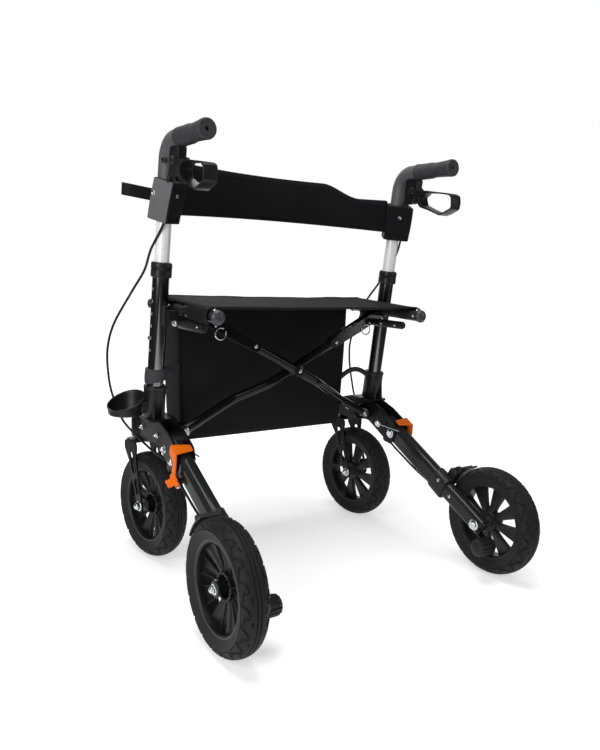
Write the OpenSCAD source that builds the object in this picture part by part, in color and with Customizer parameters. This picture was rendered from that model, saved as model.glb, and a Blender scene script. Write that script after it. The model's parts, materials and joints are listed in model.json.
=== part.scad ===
// All terrain rollator: a four-wheeled walking frame with a scissor cross frame, a sling seat,
// height-adjustable brake handles, turning front casters and folding rear legs.
// Millimetres. X is the user's right, Y is forward, Z is up. The origin is on the floor, mid-way
// between the wheels.

/* [Wheels] */
// Diameter of all four tyres
wheel_d = 230; // [215:1:240]
// Width of a tyre
tyre_w = 51; // [44:1:53]
// Diameter of the rim where the tyre sits
rim_d = 160; // [140:1:170]
// Width of the rim
rim_w = 38; // [30:1:40]
// Diameter of a wheel hub
hub_d = 46; // [36:1:56]
// Spokes in a rim
spoke_count = 8; // [5:1:10]
// Diameter of the axles
axle_d = 10; // [8:0.5:12]
// Distance between the front and rear axles
wheelbase = 435; // [420:1:460]
// Distance between the mid-planes of the rear wheels
rear_track = 648; // [644:1:670]

/* [Casters] */
// How far inside its rear wheel's mid-plane a swivel axis stands
caster_inset = 40; // [36:1:44]
// How far a front axle trails its swivel axis
caster_trail = 46; // [38:1:52]
// How far the left caster stands turned to the left, in degrees
left_caster_turn = 8; // [-20:1:20]
// How far the right caster stands turned to the left, in degrees
right_caster_turn = 6; // [-20:1:20]
// Diameter of a swivel stem
stem_d = 20; // [16:1:24]
// Diameter of a swivel housing
housing_d = 48; // [42:1:50]
// Room between a tyre and the fork's crown
crown_room = 7; // [5:1:10]
// Room between a tyre and a fork arm
arm_room = 3; // [2:0.5:5]
// Thickness of the fork's plates
fork_t = 4; // [3:0.5:5]
// Width of a fork arm
fork_arm_w = 25; // [22:1:30]

/* [Uprights] */
// How far inside its rear wheel's mid-plane an upright stands
upright_inset = 30; // [28:1:32]
// Outer diameter of an upright
upright_d = 34; // [32:0.5:35]
// Diameter of the telescopic tube in it
inner_d = 29.5; // [27:0.5:30]
// Wall of the telescopic tube
inner_wall = 2; // [1.5:0.25:3]
// Backward lean of the uprights, in degrees
lean = 7.1; // [5:0.1:9]
// How much longer an upright is than the rise from its foot to the seat rail
upright_over = 92.3; // [80:0.1:104]
// Height of the upright's foot above the rear leg's fold pivot
deck_rise = 67.08; // [63:0.01:73]
// How far in front of the fold pivot the upright's foot stands
foot_ahead = 119.85; // [115:0.01:125]
// Diameter of the collar
collar_d = 40; // [38:1:44]
// Height of the collar
collar_h = 30; // [24:1:36]
// Distance between two height holes
hole_pitch = 25; // [20:1:25]
// Count of the height holes
hole_count = 7; // [5:1:7]
// Diameter of the height button
button_d = 8; // [6:0.5:10]

/* [Handles] */
// Length of the handle above the upright, up to its bend
handle_reach = 196; // [187:1:212]
// Diameter of the handle post
post_d = 34; // [32:1:36]
// Radius of the handle's bend
bend_r = 40; // [36:1:46]
// Diameter of a grip
grip_d = 37; // [34:1:40]
// Length of a grip
grip_len = 112; // [100:1:125]
// Diameter of the bar in the grip
bar_d = 24; // [20:1:26]
// Width of the brake lever's band
lever_w = 28; // [24:1:32]
// Length of the brake lever from its pin
lever_len = 143; // [130:1:150]
// Thickness of the brake lever's band
lever_t = 7; // [5:0.5:9]

/* [Seat and cross frame] */
// Height of the seat rails above the axles
rail_rise = 431.7; // [425:0.1:440]
// How far inside an upright its seat rail runs
rail_inset = 41; // [39:1:44]
// Diameter of a seat rail
rail_d = 25; // [22:0.5:26]
// How far behind the upright's foot the rails begin
rail_behind = 205; // [195:1:215]
// How far in front of the upright's foot the rails end
rail_ahead = 37; // [25:1:45]
// How far inside a rear leg's mid-plane the cross frame's lower pivot sits
low_inset = 38; // [35:1:41]
// Height of the lower pivots above the rear legs' fold pivots
low_rise = 37.08; // [31:0.01:43]
// Diameter of the cross tubes
cross_d = 20; // [18:0.5:22]
// How far behind the lower pivots the rear cross tube runs
cross_behind = 60; // [56:1:66]
// How far in front of the fold pivots the lower pivots sit
low_ahead = 84.85; // [81:0.01:87]
// Diameter of the frame's pivot bolts
bolt_d = 8; // [6:0.5:9]
// Sag of the sling seat
seat_sag = 4; // [2:1:12]
// Thickness of the seat's fabric
seat_t = 3.5; // [2:0.5:5]

/* [Rear legs] */
// Slope of the rear legs, in degrees
leg_slope = 27; // [26:0.5:28]
// Length of a leg from its fold pivot to the axle
leg_len = 306; // [300:1:312]
// Height of the oval leg tube
leg_h = 46; // [42:1:48]
// Width of the oval leg tube
leg_w = 30; // [26:1:31]
// Height of the lower leg tube
shank_h = 38; // [34:1:40]
// How far inside its wheel's mid-plane a leg stands
leg_inset = 44; // [43:1:46]
// Thickness of the frame's plates
plate_t = 4; // [3:0.5:5]
// Diameter of the latch's wire
wire_d = 3; // [2:0.5:3.5]

/* [Backrest, bag and holders] */
// Height of the backrest's middle
back_h = 93; // [80:1:105]
// How far the backrest bows forward
back_bow = 62; // [50:1:70]
// Thickness of the backrest in the middle
back_t = 18; // [12:1:22]
// How far inside the cross frame's lower pivots the bag's sides hang
bag_inset = 30; // [24:1:50]
// Height of the bag
bag_h = 284; // [240:1:290]
// Depth of the bag
bag_depth = 112; // [80:1:130]
// Diameter of the cane cup
cup_d = 76; // [66:1:80]
// Height of the cane cup
cup_h = 30; // [22:1:40]
// Length of the cane loop
loop_len = 58; // [45:1:70]

/* [Hidden] */
$fn = 48;
fit = 0.05;
slack = 0.4;
axle_z = wheel_d / 2;
wheel_x = rear_track / 2;
rear_y = -wheelbase / 2;
leg_x = wheel_x - leg_inset;
swivel = [wheel_x - caster_inset, wheelbase / 2 + caster_trail];
rim_r = rim_d / 2;
rim_wall = 6;
hub_half = rim_w / 2 + 6;

// The legs' fold pivot, the deck above it, and the caster's fork and housing below the deck
fold = [rear_y + leg_len * cos(leg_slope), axle_z + leg_len * sin(leg_slope)];
deck_z = fold.y + deck_rise;
housing_drop = 18;
crown_z = wheel_d + crown_room;
crown_t = 6;
arm_x = tyre_w / 2 + arm_room;
housing_z0 = crown_z + crown_t + 2;
housing_z1 = deck_z - housing_drop;
bolt_head_h = 5;

// Uprights and handles
up_x = wheel_x - upright_inset;
foot_y = fold.x + foot_ahead;
rail_z = axle_z + rail_rise;
upright_len = rail_z - deck_z + upright_over;
foot_cut = upright_d / 2 * tan(lean) + fit;
post_top = upright_len + handle_reach;
deck_t = 5;
function up_point(h) = [up_x, foot_y - h * sin(lean), deck_z + h * cos(lean)];
collar_h0 = upright_len - collar_h + 4;
button_h = 168;
first_hole = button_h - 2 * hole_pitch;
inner_h0 = button_h - 32;
inner_h1 = post_top - 16;
sleeve_h1 = post_top - 34;
sleeve_h0 = sleeve_h1 - 80;
post_h0 = sleeve_h1 - 12;
bend_at = up_point(post_top);
bend_c = [up_x, bend_at.y - bend_r * cos(lean), bend_at.z - bend_r * sin(lean)];
grip_z = bend_c.z + bend_r;
grip_y = bend_c.y - 20;
lever_pin = [up_x, bend_c.y - 18, grip_z - 42];
lever_pin_d = 6;
cheek_t = 5;
lever_eye_w = lever_w - 2 * cheek_t;
sleeve_w = post_d + 16;
sleeve_back = 44;
sleeve_front = 40;
sleeve_wall = 3;
sleeve_r = 14;
socket_d = upright_d + 7;
socket_rib = 13;

// Seat, rails and the scissor
rail_x = up_x - rail_inset;
low_x = leg_x - low_inset;
low_y = fold.x + low_ahead;
low_z = fold.y + low_rise;
cross_slope = atan((rail_z - low_z) / (rail_x + low_x));
low_arm = low_x / cos(cross_slope);
high_arm = rail_x / cos(cross_slope);
centre_z = low_z + low_x * tan(cross_slope);
cross_gap = 3;
cross_y = low_y - cross_behind;
cross_y2 = cross_y + cross_d + cross_gap;
knuckle_d = rail_d + 6;
knuckle_w = cross_d + cross_gap - 0.6;
yoke_h = cross_d + 4;
yoke_len = 172;
eye_d = 24;
eye_w = cross_d + 1;
cross_bend = 25;
cross_bend_r = 50;
cross_bend_at = 50;
saddle_w = 38;
saddle_y0 = foot_y - 53;
saddle_y1 = foot_y - 9;
saddle_drop = 23;
rest_bar_d = 18;
rest_bar_y0 = foot_y - 151;
rail_rear = foot_y - rail_behind;
rail_front = foot_y + rail_ahead;
seat_y0 = rail_rear + 24;
seat_y1 = rail_front - 8;
seat_room = 1.2;
seat_under = rail_z + knuckle_d / 2 + seat_room;

// Rear legs, with the leg's own frame at its fold pivot: Y runs up along the leg
leg_front = 38;
leg_end = leg_len + 15;
guard_rise = 106;
guard_len = 36;
guard_y0 = guard_rise - leg_len;
guard_y1 = guard_y0 + guard_len;
guard_h = 60;
guard_w = leg_w + 8;
plate_gap = 0.5;
plate_in = leg_x - leg_w / 2 - plate_gap;
plate_out = leg_x + leg_w / 2 + plate_gap;
fold_bolt_d = 10;
plate_top = 30;
web_z = -leg_h / 2 - plate_gap - plate_t;
latch_bolt = [48, -8];
latch_axis_z = -18;
latch_axis_x = plate_out + plate_t + 6.5;
latch_pin_d = 5;
latch_barrel_d = 10;
latch_t = 3;
latch_lug = [-42, -33];
latch_span = [-52, -18];
web_y = 22;
cable_stop_y = 16;
cable_stop_l = 14;

// Backrest: a band that bows forward between the sleeves, with a taller middle
back_half = up_x - sleeve_w / 2 + 2;
back_y = up_point((sleeve_h0 + sleeve_h1) / 2).y + 4;
back_low = up_point(sleeve_h0).z + 14;
back_end_top = up_point(sleeve_h1).z + 8;
back_arch = 9;
back_end_t = 9;
shoulder = [0.42, 0.76];
back_steps = 28;
back_sides = 16;

// Brake shoe: its pad faces the tyre along this direction, seen from the axle
shoe_dir = 32;
shoe_gap = 4;
shoe_t = 8;
shoe_arm = 35;
shoe_pad = [rear_y + (axle_z + shoe_gap) * cos(shoe_dir), axle_z + (axle_z + shoe_gap) * sin(shoe_dir)];
shoe_pin = [shoe_pad.x - shoe_arm * sin(shoe_dir), shoe_pad.y + shoe_arm * cos(shoe_dir)];
shoe_pin_d = 6;
shoe_x0 = wheel_x - 20.4;
wing_end = shoe_x0 - 0.6;

// Brake cables, as points by hand from the brake housing down to the stop under the bracket: how far
// outside the upright, how far in front of its foot, and the share of the height from the stop up to the lever's pin
cable_d = 5;
left_cable = [
    [5, -89, 0.971], [10, -79, 0.908], [12, -71, 0.817], [20, -33, 0.729], [16, 13, 0.658],
    [28, 55, 0.578], [52, 95, 0.461], [59, 115, 0.366], [59, 110, 0.277], [58, 87, 0.207], [49, 50, 0.126],
    [28, 17, 0.072], [12, -30, 0.034], [-2, -63, 0.014], [-6, -75, 0.001]];
right_cable = [
    [5, -89, 0.971], [10, -79, 0.908], [12, -71, 0.817], [20, -33, 0.729], [12, 7, 0.637],
    [6, 47, 0.556], [8, 73, 0.482], [10, 108, 0.377], [14, 115, 0.287], [20, 109, 0.195],
    [25, 95, 0.112], [24, 47, 0.062], [12, -30, 0.034], [-2, -63, 0.014], [-6, -75, 0.001]];
// The lower cable in the leg's frame, from the stop to the brake's guard
low_cable = [[cable_stop_y - 0.5, -38], [-4, -40], [-40, -39], [-85, -37], [guard_y1 + 34, -32],
    [guard_y1 + 12, -27], [guard_y1 + 0.2, -26]];

black = [0.05, 0.05, 0.055];
graphite = [0.2, 0.2, 0.21];
zinc = [0.75, 0.77, 0.8];
rubber = [0.09, 0.09, 0.1];
cloth = [0.07, 0.07, 0.075];
orange = [0.95, 0.4, 0.05];

// Every paired piece is drawn on the user's right and mirrored to the left.
module side(s) {
    mirror([s < 0 ? 1 : 0, 0, 0]) children();
}

module x_rod(d, x0, x1) {
    translate([x0, 0, 0]) rotate([0, 90, 0]) cylinder(d = d, h = x1 - x0);
}

module y_rod(d, y0, y1) {
    translate([0, y1, 0]) rotate([90, 0, 0]) cylinder(d = d, h = y1 - y0);
}

// An outline in Y and Z, as a plate from x0 to x1
module side_plate(outline, x0, x1) {
    translate([x0, 0, 0]) rotate([90, 0, 90]) linear_extrude(x1 - x0) polygon(outline);
}

module box(low, high) {
    translate(low) cube(high - low);
}

module rounded_rect(w, d, r) {
    square([w - 2 * r, d], center = true);
    square([w, d - 2 * r], center = true);
    for (x = [-1, 1], y = [-1, 1]) translate([x * (w / 2 - r), y * (d / 2 - r)]) circle(r);
}

// The upright's own frame: its foot at the origin, its axis along Z
module on_upright(h = 0) {
    translate([up_x, foot_y, deck_z]) rotate([lean, 0, 0]) translate([0, 0, h]) children();
}

// The leg's own frame
module on_leg() {
    translate([0, fold.x, fold.y]) rotate([leg_slope, 0, 0]) children();
}

// A point of the leg's frame, in the frame of the part
function leg_point(x, y, z) = [x, fold.x + y * cos(leg_slope) - z * sin(leg_slope),
    fold.y + y * sin(leg_slope) + z * cos(leg_slope)];

// A round tube swept along its points
function unit(v) = v / norm(v);

function along(points, i) = unit(points[min(i + 1, len(points) - 1)] - points[max(i - 1, 0)]);

function ring_points(p, t, r, sides) =
    let (u = unit(cross(t, abs(t.x) > 0.9 ? [0, 1, 0] : [1, 0, 0])), v = cross(t, u), turn = 360 / sides)
    [for (i = [0:sides - 1]) p + r * (cos(i * turn) * u + sin(i * turn) * v)];

// A closed skin over rings of points
module loft(rings) {
    n = len(rings);
    sides = len(rings[0]);
    walls = [for (i = [0:n - 2], k = [0:sides - 1]) let (m = (k + 1) % sides, a = i * sides, b = a + sides)
        each [[a + k, b + k, a + m], [a + m, b + k, b + m]]];
    first = [[for (k = [0:sides - 1]) k]];
    last = [[for (k = [sides - 1:-1:0]) (n - 1) * sides + k]];
    polyhedron([for (ring = rings) each ring], concat(walls, first, last), convexity = 6);
}

module swept_tube(path, r, sides) {
    loft([for (i = [0:len(path) - 1]) ring_points(path[i], along(path, i), r, sides)]);
}

// A smooth curve through the points, with a few steps between each two
function curve(points, steps) = [
    for (i = [0:len(points) - 2]) let (
        a = points[max(i - 1, 0)], b = points[i], c = points[i + 1], d = points[min(i + 2, len(points) - 1)])
        for (k = [0:steps - (i == len(points) - 2 ? 0 : 1)]) let (t = k / steps)
            b + t / 2 * (c - a + t * (2 * a - 5 * b + 4 * c - d + t * (3 * (b - c) + d - a)))];

// Wheels: the wheel's axis is X and its middle is at the origin
module wheel_rim() {
    spoke_t = 12;
    spoke_w = 15;
    dish = 5;
    rotate([0, 90, 0]) {
        difference() {
            cylinder(r = rim_r, h = rim_w, center = true, $fn = 96);
            cylinder(r = rim_r - rim_wall, h = rim_w + 1, center = true, $fn = 96);
        }
        difference() {
            union() {
                cylinder(d = hub_d, h = 2 * hub_half - 14, center = true);
                cylinder(d = hub_d - 18, h = 2 * hub_half, center = true);
                for (i = [0:spoke_count - 1]) rotate(i * 360 / spoke_count)
                    translate([hub_d / 2 - 4, -spoke_w / 2, dish - spoke_t])
                        cube([rim_r - rim_wall - hub_d / 2 + 6, spoke_w, spoke_t]);
            }
            cylinder(d = axle_d + 2 * fit, h = 2 * hub_half + 1, center = true);
        }
    }
}

module wheel_tyre() {
    belly = (axle_z - rim_r) / 2;
    middle = rim_r + belly;
    bead = [for (s = [-1, 1]) [rim_r + fit, s * rim_w / 2]];
    crown = [for (a = [0:15:180]) [middle + belly * sin(a), tyre_w / 2 * cos(a)]];
    rotate([0, 90, 0]) rotate_extrude($fn = 96) polygon(concat(crown, bead));
}

// A bolt along X with a round head at each end
module axle_bolt(x0, x1) {
    x_rod(axle_d, x0, x1);
    x_rod(axle_d + 7, x0 - bolt_head_h, x0);
    x_rod(axle_d + 7, x1, x1 + bolt_head_h);
}

// Casters: s is the side and turn the caster's own turn to the left
module at_caster(s, turn) {
    side(s) translate([swivel.x, swivel.y, 0]) rotate(s * turn) translate([0, -caster_trail, 0]) children();
}

module at_front_wheel(s, turn) {
    at_caster(s, turn) translate([0, 0, axle_z]) children();
}

module caster_fork(s, turn) {
    arm_top = [caster_trail, crown_z - axle_z + crown_t / 2];
    arm_len = norm(arm_top);
    arm_angle = atan2(arm_top.y, arm_top.x);
    slot_w = fork_arm_w - 14;
    color(black) at_front_wheel(s, turn) {
        difference() {
            union() {
                for (m = [0, 1]) mirror([m, 0, 0]) {
                    x_rod(fork_arm_w + 1, arm_x, arm_x + fork_t);
                    rotate([arm_angle, 0, 0])
                        box([arm_x, 0, -fork_arm_w / 2], [arm_x + fork_t, arm_len, fork_arm_w / 2]);
                }
                translate([0, caster_trail, crown_z - axle_z]) {
                    box([-arm_x - fork_t, -22, 0], [arm_x + fork_t, 22, crown_t]);
                    cylinder(d = stem_d, h = housing_z1 - crown_z);
                    cylinder(d = stem_d + 12, h = housing_z0 - crown_z - slack);
                }
            }
            x_rod(axle_d + 2 * fit, -arm_x - fork_t - 1, arm_x + fork_t + 1);
            for (at = [0.3, 0.66]) rotate([arm_angle, 0, 0])
                box([-arm_x - fork_t - 1, arm_len * at, -slot_w / 2],
                    [arm_x + fork_t + 1, arm_len * at + arm_len * 0.22, slot_w / 2]);
        }
    }
}

module front_axle(s, turn) {
    color(zinc) at_front_wheel(s, turn) axle_bolt(-arm_x - fork_t, arm_x + fork_t);
}

module front_rim(s, turn) {
    color(graphite) at_front_wheel(s, turn) wheel_rim();
}

module front_tyre(s, turn) {
    color(rubber) at_front_wheel(s, turn) wheel_tyre();
}

// Side frame: an upright with height holes in its outer face
module upright(s) {
    color(black) side(s) on_upright() difference() {
        translate([0, 0, foot_cut]) cylinder(d = upright_d, h = upright_len - foot_cut);
        translate([0, 0, -1]) cylinder(d = inner_d + 2 * fit, h = upright_len + 2);
        for (i = [0:hole_count - 1]) translate([0, 0, first_hole + i * hole_pitch])
            x_rod(button_d + 1, 0, upright_d);
    }
}

module collar(s) {
    lip = 3;
    color(black) side(s) on_upright(collar_h0) difference() {
        cylinder(d = collar_d, h = collar_h);
        translate([0, 0, -1]) cylinder(d = upright_d + 2 * fit, h = upright_len - collar_h0 + 1 + fit);
        cylinder(d = inner_d + 2 * fit, h = collar_h + lip);
    }
}

// The lower bracket: two plates with a deck for the upright, the swivel housing and the leg's channel
module frame_bracket(s) {
    front = swivel.y + housing_d / 2 - 4;
    low_front = housing_z0 + 4;
    outline = concat(
        [for (p = [[-16, web_z], [84, web_z + 6]]) let (q = leg_point(0, p.x, p.y)) [q.y, q.z]],
        [[foot_y + 25, low_front + 8], [front, low_front], [front, housing_z1 - 4], [swivel.y - 20, deck_z - 8],
            [foot_y + 38, deck_z], [foot_y - 38, deck_z]],
        [for (p = [[56, plate_top], [0, plate_top], [-12, plate_top - 14]])
            let (q = leg_point(0, p.x, p.y)) [q.y, q.z]]);
    lug_y = low_y + eye_w / 2 + 0.6;
    lug_t = 6;
    color(black) side(s) difference() {
        union() {
            side_plate(outline, plate_in - plate_t, plate_in);
            side_plate(outline, plate_out, plate_out + plate_t);
            box([plate_in - plate_t, foot_y - 38, deck_z - deck_t], [up_x + upright_d / 2 + 4, foot_y + 38, deck_z]);
            box([plate_in - 1, foot_y - 10, deck_z - 40], [plate_out + 1, swivel.y - 6, deck_z - 20]);
            translate([swivel.x, swivel.y, housing_z0]) cylinder(d = housing_d, h = housing_z1 - housing_z0);
            box([low_x - 16, lug_y, low_z - 15], [plate_in - 1, lug_y + lug_t, low_z + 15]);
            on_leg() {
                box([plate_in - 1, web_y, web_z], [plate_out + 1, web_y + 62, web_z + plate_t]);
                box([leg_x - 4, cable_stop_y, -45], [leg_x + 16, cable_stop_y + cable_stop_l, web_z]);
                box([leg_x - 4, web_y, -45], [leg_x + 16, cable_stop_y + cable_stop_l, web_z + 1]);
            }
        }
        translate([swivel.x, swivel.y, housing_z0 - 1])
            cylinder(d = stem_d + 2 * fit, h = housing_z1 - housing_z0 + 2);
        translate([low_x, 0, low_z]) y_rod(bolt_d + 2 * fit, lug_y - 1, lug_y + lug_t + 1);
        on_leg() {
            x_rod(fold_bolt_d + 2 * fit, plate_in - plate_t - 1, plate_out + plate_t + 1);
            translate([0, latch_bolt.x, latch_bolt.y])
                x_rod(bolt_d + 2 * fit, plate_in - plate_t - 1, plate_out + plate_t + 1);
        }
    }
}

// The plastic socket that holds the upright's foot, with flared gussets
module foot_socket(s) {
    socket_h = 64;
    gusset_t = 5;
    color(black) side(s) difference() {
        union() {
            on_upright(3) cylinder(d = socket_d, h = socket_h);
            box([up_x - socket_d / 2, foot_y - 32, deck_z + fit], [up_x + socket_d / 2, foot_y + 32, deck_z + 6]);
            for (x = [up_x - socket_rib, up_x + socket_rib - gusset_t])
                side_plate([[foot_y - 32, deck_z + 4], [foot_y + 32, deck_z + 4],
                    [foot_y + 12, deck_z + 46], [foot_y - 22, deck_z + 46]], x, x + gusset_t);
        }
        on_upright(-10) cylinder(d = upright_d + 2 * fit, h = socket_h + 40);
    }
}

// Zinc bolts of the side frame: the cross frame's pivot, the leg's fold pivot and the latch's bolt
module frame_bolts(s) {
    head = 6;
    pin0 = low_y - eye_w / 2 - 1;
    pin1 = low_y + eye_w / 2 + 7;
    plates = [plate_in - plate_t - fit, plate_out + plate_t + fit];
    color(zinc) side(s) {
        translate([low_x, 0, low_z]) {
            y_rod(bolt_d, pin0, pin1);
            y_rod(bolt_d + 6, pin0 - head, pin0);
            y_rod(bolt_d + 6, pin1, pin1 + head);
        }
        on_leg() {
            x_rod(fold_bolt_d, plates[0], plates[1]);
            x_rod(fold_bolt_d + 5, plates[0] - 4, plates[0]);
            x_rod(fold_bolt_d + 5, plates[1], plates[1] + 4);
            translate([0, latch_bolt.x, latch_bolt.y]) {
                x_rod(bolt_d, plates[0] - wire_d - 2, plates[1]);
                x_rod(bolt_d + 6, plates[0] - wire_d - 6, plates[0] - wire_d - 1);
                x_rod(bolt_d + 6, plates[1], plates[1] + 4);
            }
        }
    }
}

// The saddle that carries the seat rail, a half shell on the upright's inner side
module seat_saddle(s) {
    clamp_d = upright_d + 9;
    clamp_at = (rail_z - saddle_drop - deck_z) / cos(lean);
    color(black) side(s) difference() {
        union() {
            box([rail_x - saddle_w / 2, saddle_y0, rail_z - saddle_drop], [up_x - 8, saddle_y1, rail_z]);
            on_upright(clamp_at - 6) cylinder(d = clamp_d, h = saddle_drop + 16);
            translate([rail_x, 0, rail_z - saddle_drop - rest_bar_d / 2 + 2])
                y_rod(rest_bar_d, rest_bar_y0, saddle_y0 + 10);
        }
        translate([rail_x, 0, rail_z]) y_rod(rail_d + 2 * slack, saddle_y0 - 1, saddle_y1 + 1);
        on_upright(clamp_at - 7) {
            cylinder(d = upright_d + 2 * fit, h = saddle_drop + 18);
            box([0, -clamp_d, 0], [clamp_d, clamp_d, saddle_drop + 18]);
        }
    }
}

// Handle: a bright telescopic tube with the post and the brake housing on it
module handle_tube(s) {
    color(zinc) side(s) on_upright() difference() {
        translate([0, 0, inner_h0]) cylinder(d = inner_d, h = inner_h1 - inner_h0);
        translate([0, 0, inner_h0 - 1]) cylinder(d = inner_d - 2 * inner_wall, h = inner_h1 - inner_h0 + 2);
        translate([0, 0, button_h]) x_rod(button_d + 2 * fit, 0, inner_d);
    }
}

module handle_post(s) {
    cheek_y0 = lever_pin.y - 9;
    cheek_y1 = bend_at.y;
    cheek = [[cheek_y0, lever_pin.z - 9], [cheek_y0 + 14, lever_pin.z - 16], [cheek_y1, lever_pin.z - 16],
        [cheek_y1, grip_z - 12], [cheek_y0 + 20, grip_z - 14], [cheek_y0, lever_pin.z + 9]];
    wall_y = lever_pin.y + 14;
    tongue = lever_eye_w / 2;
    lap = 1;
    bend_d = post_d - 0.4;
    color(graphite) side(s) difference() {
        union() {
            on_upright(post_h0) cylinder(d = post_d, h = post_top + lap - post_h0);
            translate(bend_c) rotate([90, 0, 90]) rotate(lean)
                rotate_extrude(angle = 90 - lean) translate([bend_r, 0]) circle(d = bend_d);
            translate([up_x, 0, grip_z]) {
                y_rod(post_d, grip_y + fit, bend_c.y + lap);
                y_rod(bar_d, grip_y - grip_len + 6, grip_y + 1);
            }
            for (x = [up_x - tongue - cheek_t, up_x + tongue]) side_plate(cheek, x, x + cheek_t);
            box([up_x - tongue - cheek_t, wall_y, lever_pin.z - 16], [up_x + tongue + cheek_t, cheek_y1, grip_z - 14]);
            translate([0, lever_pin.y, lever_pin.z]) x_rod(lever_pin_d, up_x - tongue - 1, up_x + tongue + 1);
        }
        on_upright(post_h0 - 1) cylinder(d = inner_d + 2 * fit, h = inner_h1 - post_h0 + 2);
    }
}

module grip(s) {
    knuckle = 8;
    vent_d = 7;
    color(rubber) side(s) translate([up_x, 0, grip_z]) difference() {
        union() {
            y_rod(grip_d - 4, grip_y - grip_len, grip_y);
            y_rod(grip_d, grip_y - knuckle, grip_y);
            y_rod(grip_d, grip_y - grip_len, grip_y - grip_len + knuckle);
        }
        y_rod(bar_d + 2 * fit, grip_y - grip_len + 5, grip_y + 1);
        y_rod(vent_d, grip_y - grip_len - 1, grip_y);
    }
}

// The brake lever is a closed loop of band under the grip
module brake_lever(s) {
    t = lever_t;
    tip = [-lever_len, -20];
    outer = [[-12, 5], [tip.x + 8, tip.y + 6], [tip.x, tip.y], [tip.x + 5, tip.y - 8], [-84, -56], [-74, -60],
        [-26, -58], [-14, -52], [-8, -28], [-8, -4]];
    inner = [[-20, -4], [tip.x + 18, tip.y - 2], [-80, -56 + t], [-30, -58 + t], [-21, -48], [-16, -26]];
    color(black) side(s) translate(lever_pin) difference() {
        union() {
            translate([-lever_w / 2, 0, 0]) rotate([90, 0, 90]) linear_extrude(lever_w) difference() {
                polygon(outer);
                polygon(inner);
            }
            x_rod(16, -lever_eye_w / 2 + 0.4, lever_eye_w / 2 - 0.4);
            side_plate([[-14, -8], [0, -8], [0, 8], [-14, 5]], -lever_eye_w / 2 + 0.4, lever_eye_w / 2 - 0.4);
        }
        x_rod(lever_pin_d + 2 * fit, -lever_w, lever_w);
        for (x = [-1, 1]) translate([x * (lever_eye_w / 2 + 4.6), 0, 0])
            box([-5, -9.6, -20], [5, 20, 20]);
    }
}

module height_button(s) {
    color(zinc) side(s) on_upright(button_h) {
        x_rod(button_d, inner_d / 2 - inner_wall - 4, upright_d / 2 + 3);
        x_rod(button_d + 4, inner_d / 2 - inner_wall - 5, inner_d / 2 - inner_wall - 1.5);
    }
}

// Rear leg: an oval tube with a narrower tube below it
module rear_leg(s) {
    shank_w = leg_w - 3;
    end_plug = 16;
    color(black) side(s) on_leg() difference() {
        union() {
            translate([leg_x, leg_front, 0]) rotate([90, 0, 0])
                linear_extrude(leg_front - guard_y0 - 8) rounded_rect(leg_w, leg_h, leg_w / 2 - 3);
            translate([leg_x, guard_y1, 0]) rotate([90, 0, 0])
                linear_extrude(leg_end + guard_y1) rounded_rect(shank_w, shank_h, 7);
            translate([latch_axis_x, 0, latch_axis_z]) y_rod(latch_barrel_d, latch_lug[0], latch_lug[1]);
            box([leg_x + leg_w / 4, latch_lug[0], latch_axis_z - 4], [latch_axis_x, latch_lug[1], latch_axis_z + 4]);
        }
        translate([leg_x, leg_front + 1, 0]) rotate([90, 0, 0])
            linear_extrude(leg_front + leg_len - end_plug) rounded_rect(leg_w - 8, shank_h - 6, 7);
        translate([latch_axis_x, 0, latch_axis_z]) y_rod(latch_pin_d + 2 * fit, latch_lug[0] - 1, latch_lug[1] + 1);
        x_rod(fold_bolt_d + 2 * fit, leg_x - leg_w, leg_x + leg_w);
        translate([0, -leg_len, 0]) x_rod(axle_d + 2 * fit, leg_x - leg_w, leg_x + leg_w);
    }
}

// The plastic guard over the leg's joint, with a wing that carries the brake shoe in front of the tyre
module brake_guard(s) {
    pin_end = wheel_x + tyre_w / 2 - 8;
    boss_d = 18;
    wing_x0 = leg_x + guard_w / 2 - 4;
    pin = [shoe_pin.x, shoe_pin.y];
    color(graphite) side(s) difference() {
        union() {
            on_leg() translate([leg_x, guard_y1, 0]) rotate([90, 0, 0])
                linear_extrude(guard_y1 - guard_y0) rounded_rect(guard_w, guard_h, 12);
            translate([0, pin.x, pin.y]) {
                x_rod(boss_d, wing_x0, wing_end);
                x_rod(shoe_pin_d, wing_end - 1, pin_end);
            }
            side_plate([[pin.x - 8, pin.y - 4], [pin.x + 10, pin.y - 26], [pin.x + 26, pin.y - 26],
                [pin.x + 10, pin.y + 6]], leg_x + 2, wing_end);
        }
        on_leg() {
            translate([leg_x, leg_front, 0]) rotate([90, 0, 0])
                linear_extrude(leg_front - guard_y0 - 8 + fit)
                    rounded_rect(leg_w + 2 * fit, leg_h + 2 * fit, leg_w / 2 - 3 + fit);
            translate([leg_x, 0, 0]) rotate([90, 0, 0])
                linear_extrude(leg_end) rounded_rect(leg_w - 3 + 2 * fit, shank_h + 2 * fit, 7 + fit);
        }
    }
}

// The shoe swings on the wing's pin and presses on the tyre
module brake_shoe(s) {
    pad_w = tyre_w - 14;
    x0 = shoe_x0;
    reach = shoe_arm + 14;
    color(black) side(s) translate([0, shoe_pin.x, shoe_pin.y]) rotate([shoe_dir, 0, 0]) difference() {
        union() {
            x_rod(shoe_pin_d + 8, x0, x0 + pad_w);
            box([x0, 0, -reach], [x0 + pad_w, shoe_t, -2]);
            box([x0, 0, -reach], [x0 + pad_w, shoe_t + 5, -reach + 7]);
        }
        x_rod(shoe_pin_d + 2 * fit, x0 - 1, x0 + pad_w + 1);
    }
}

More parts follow.
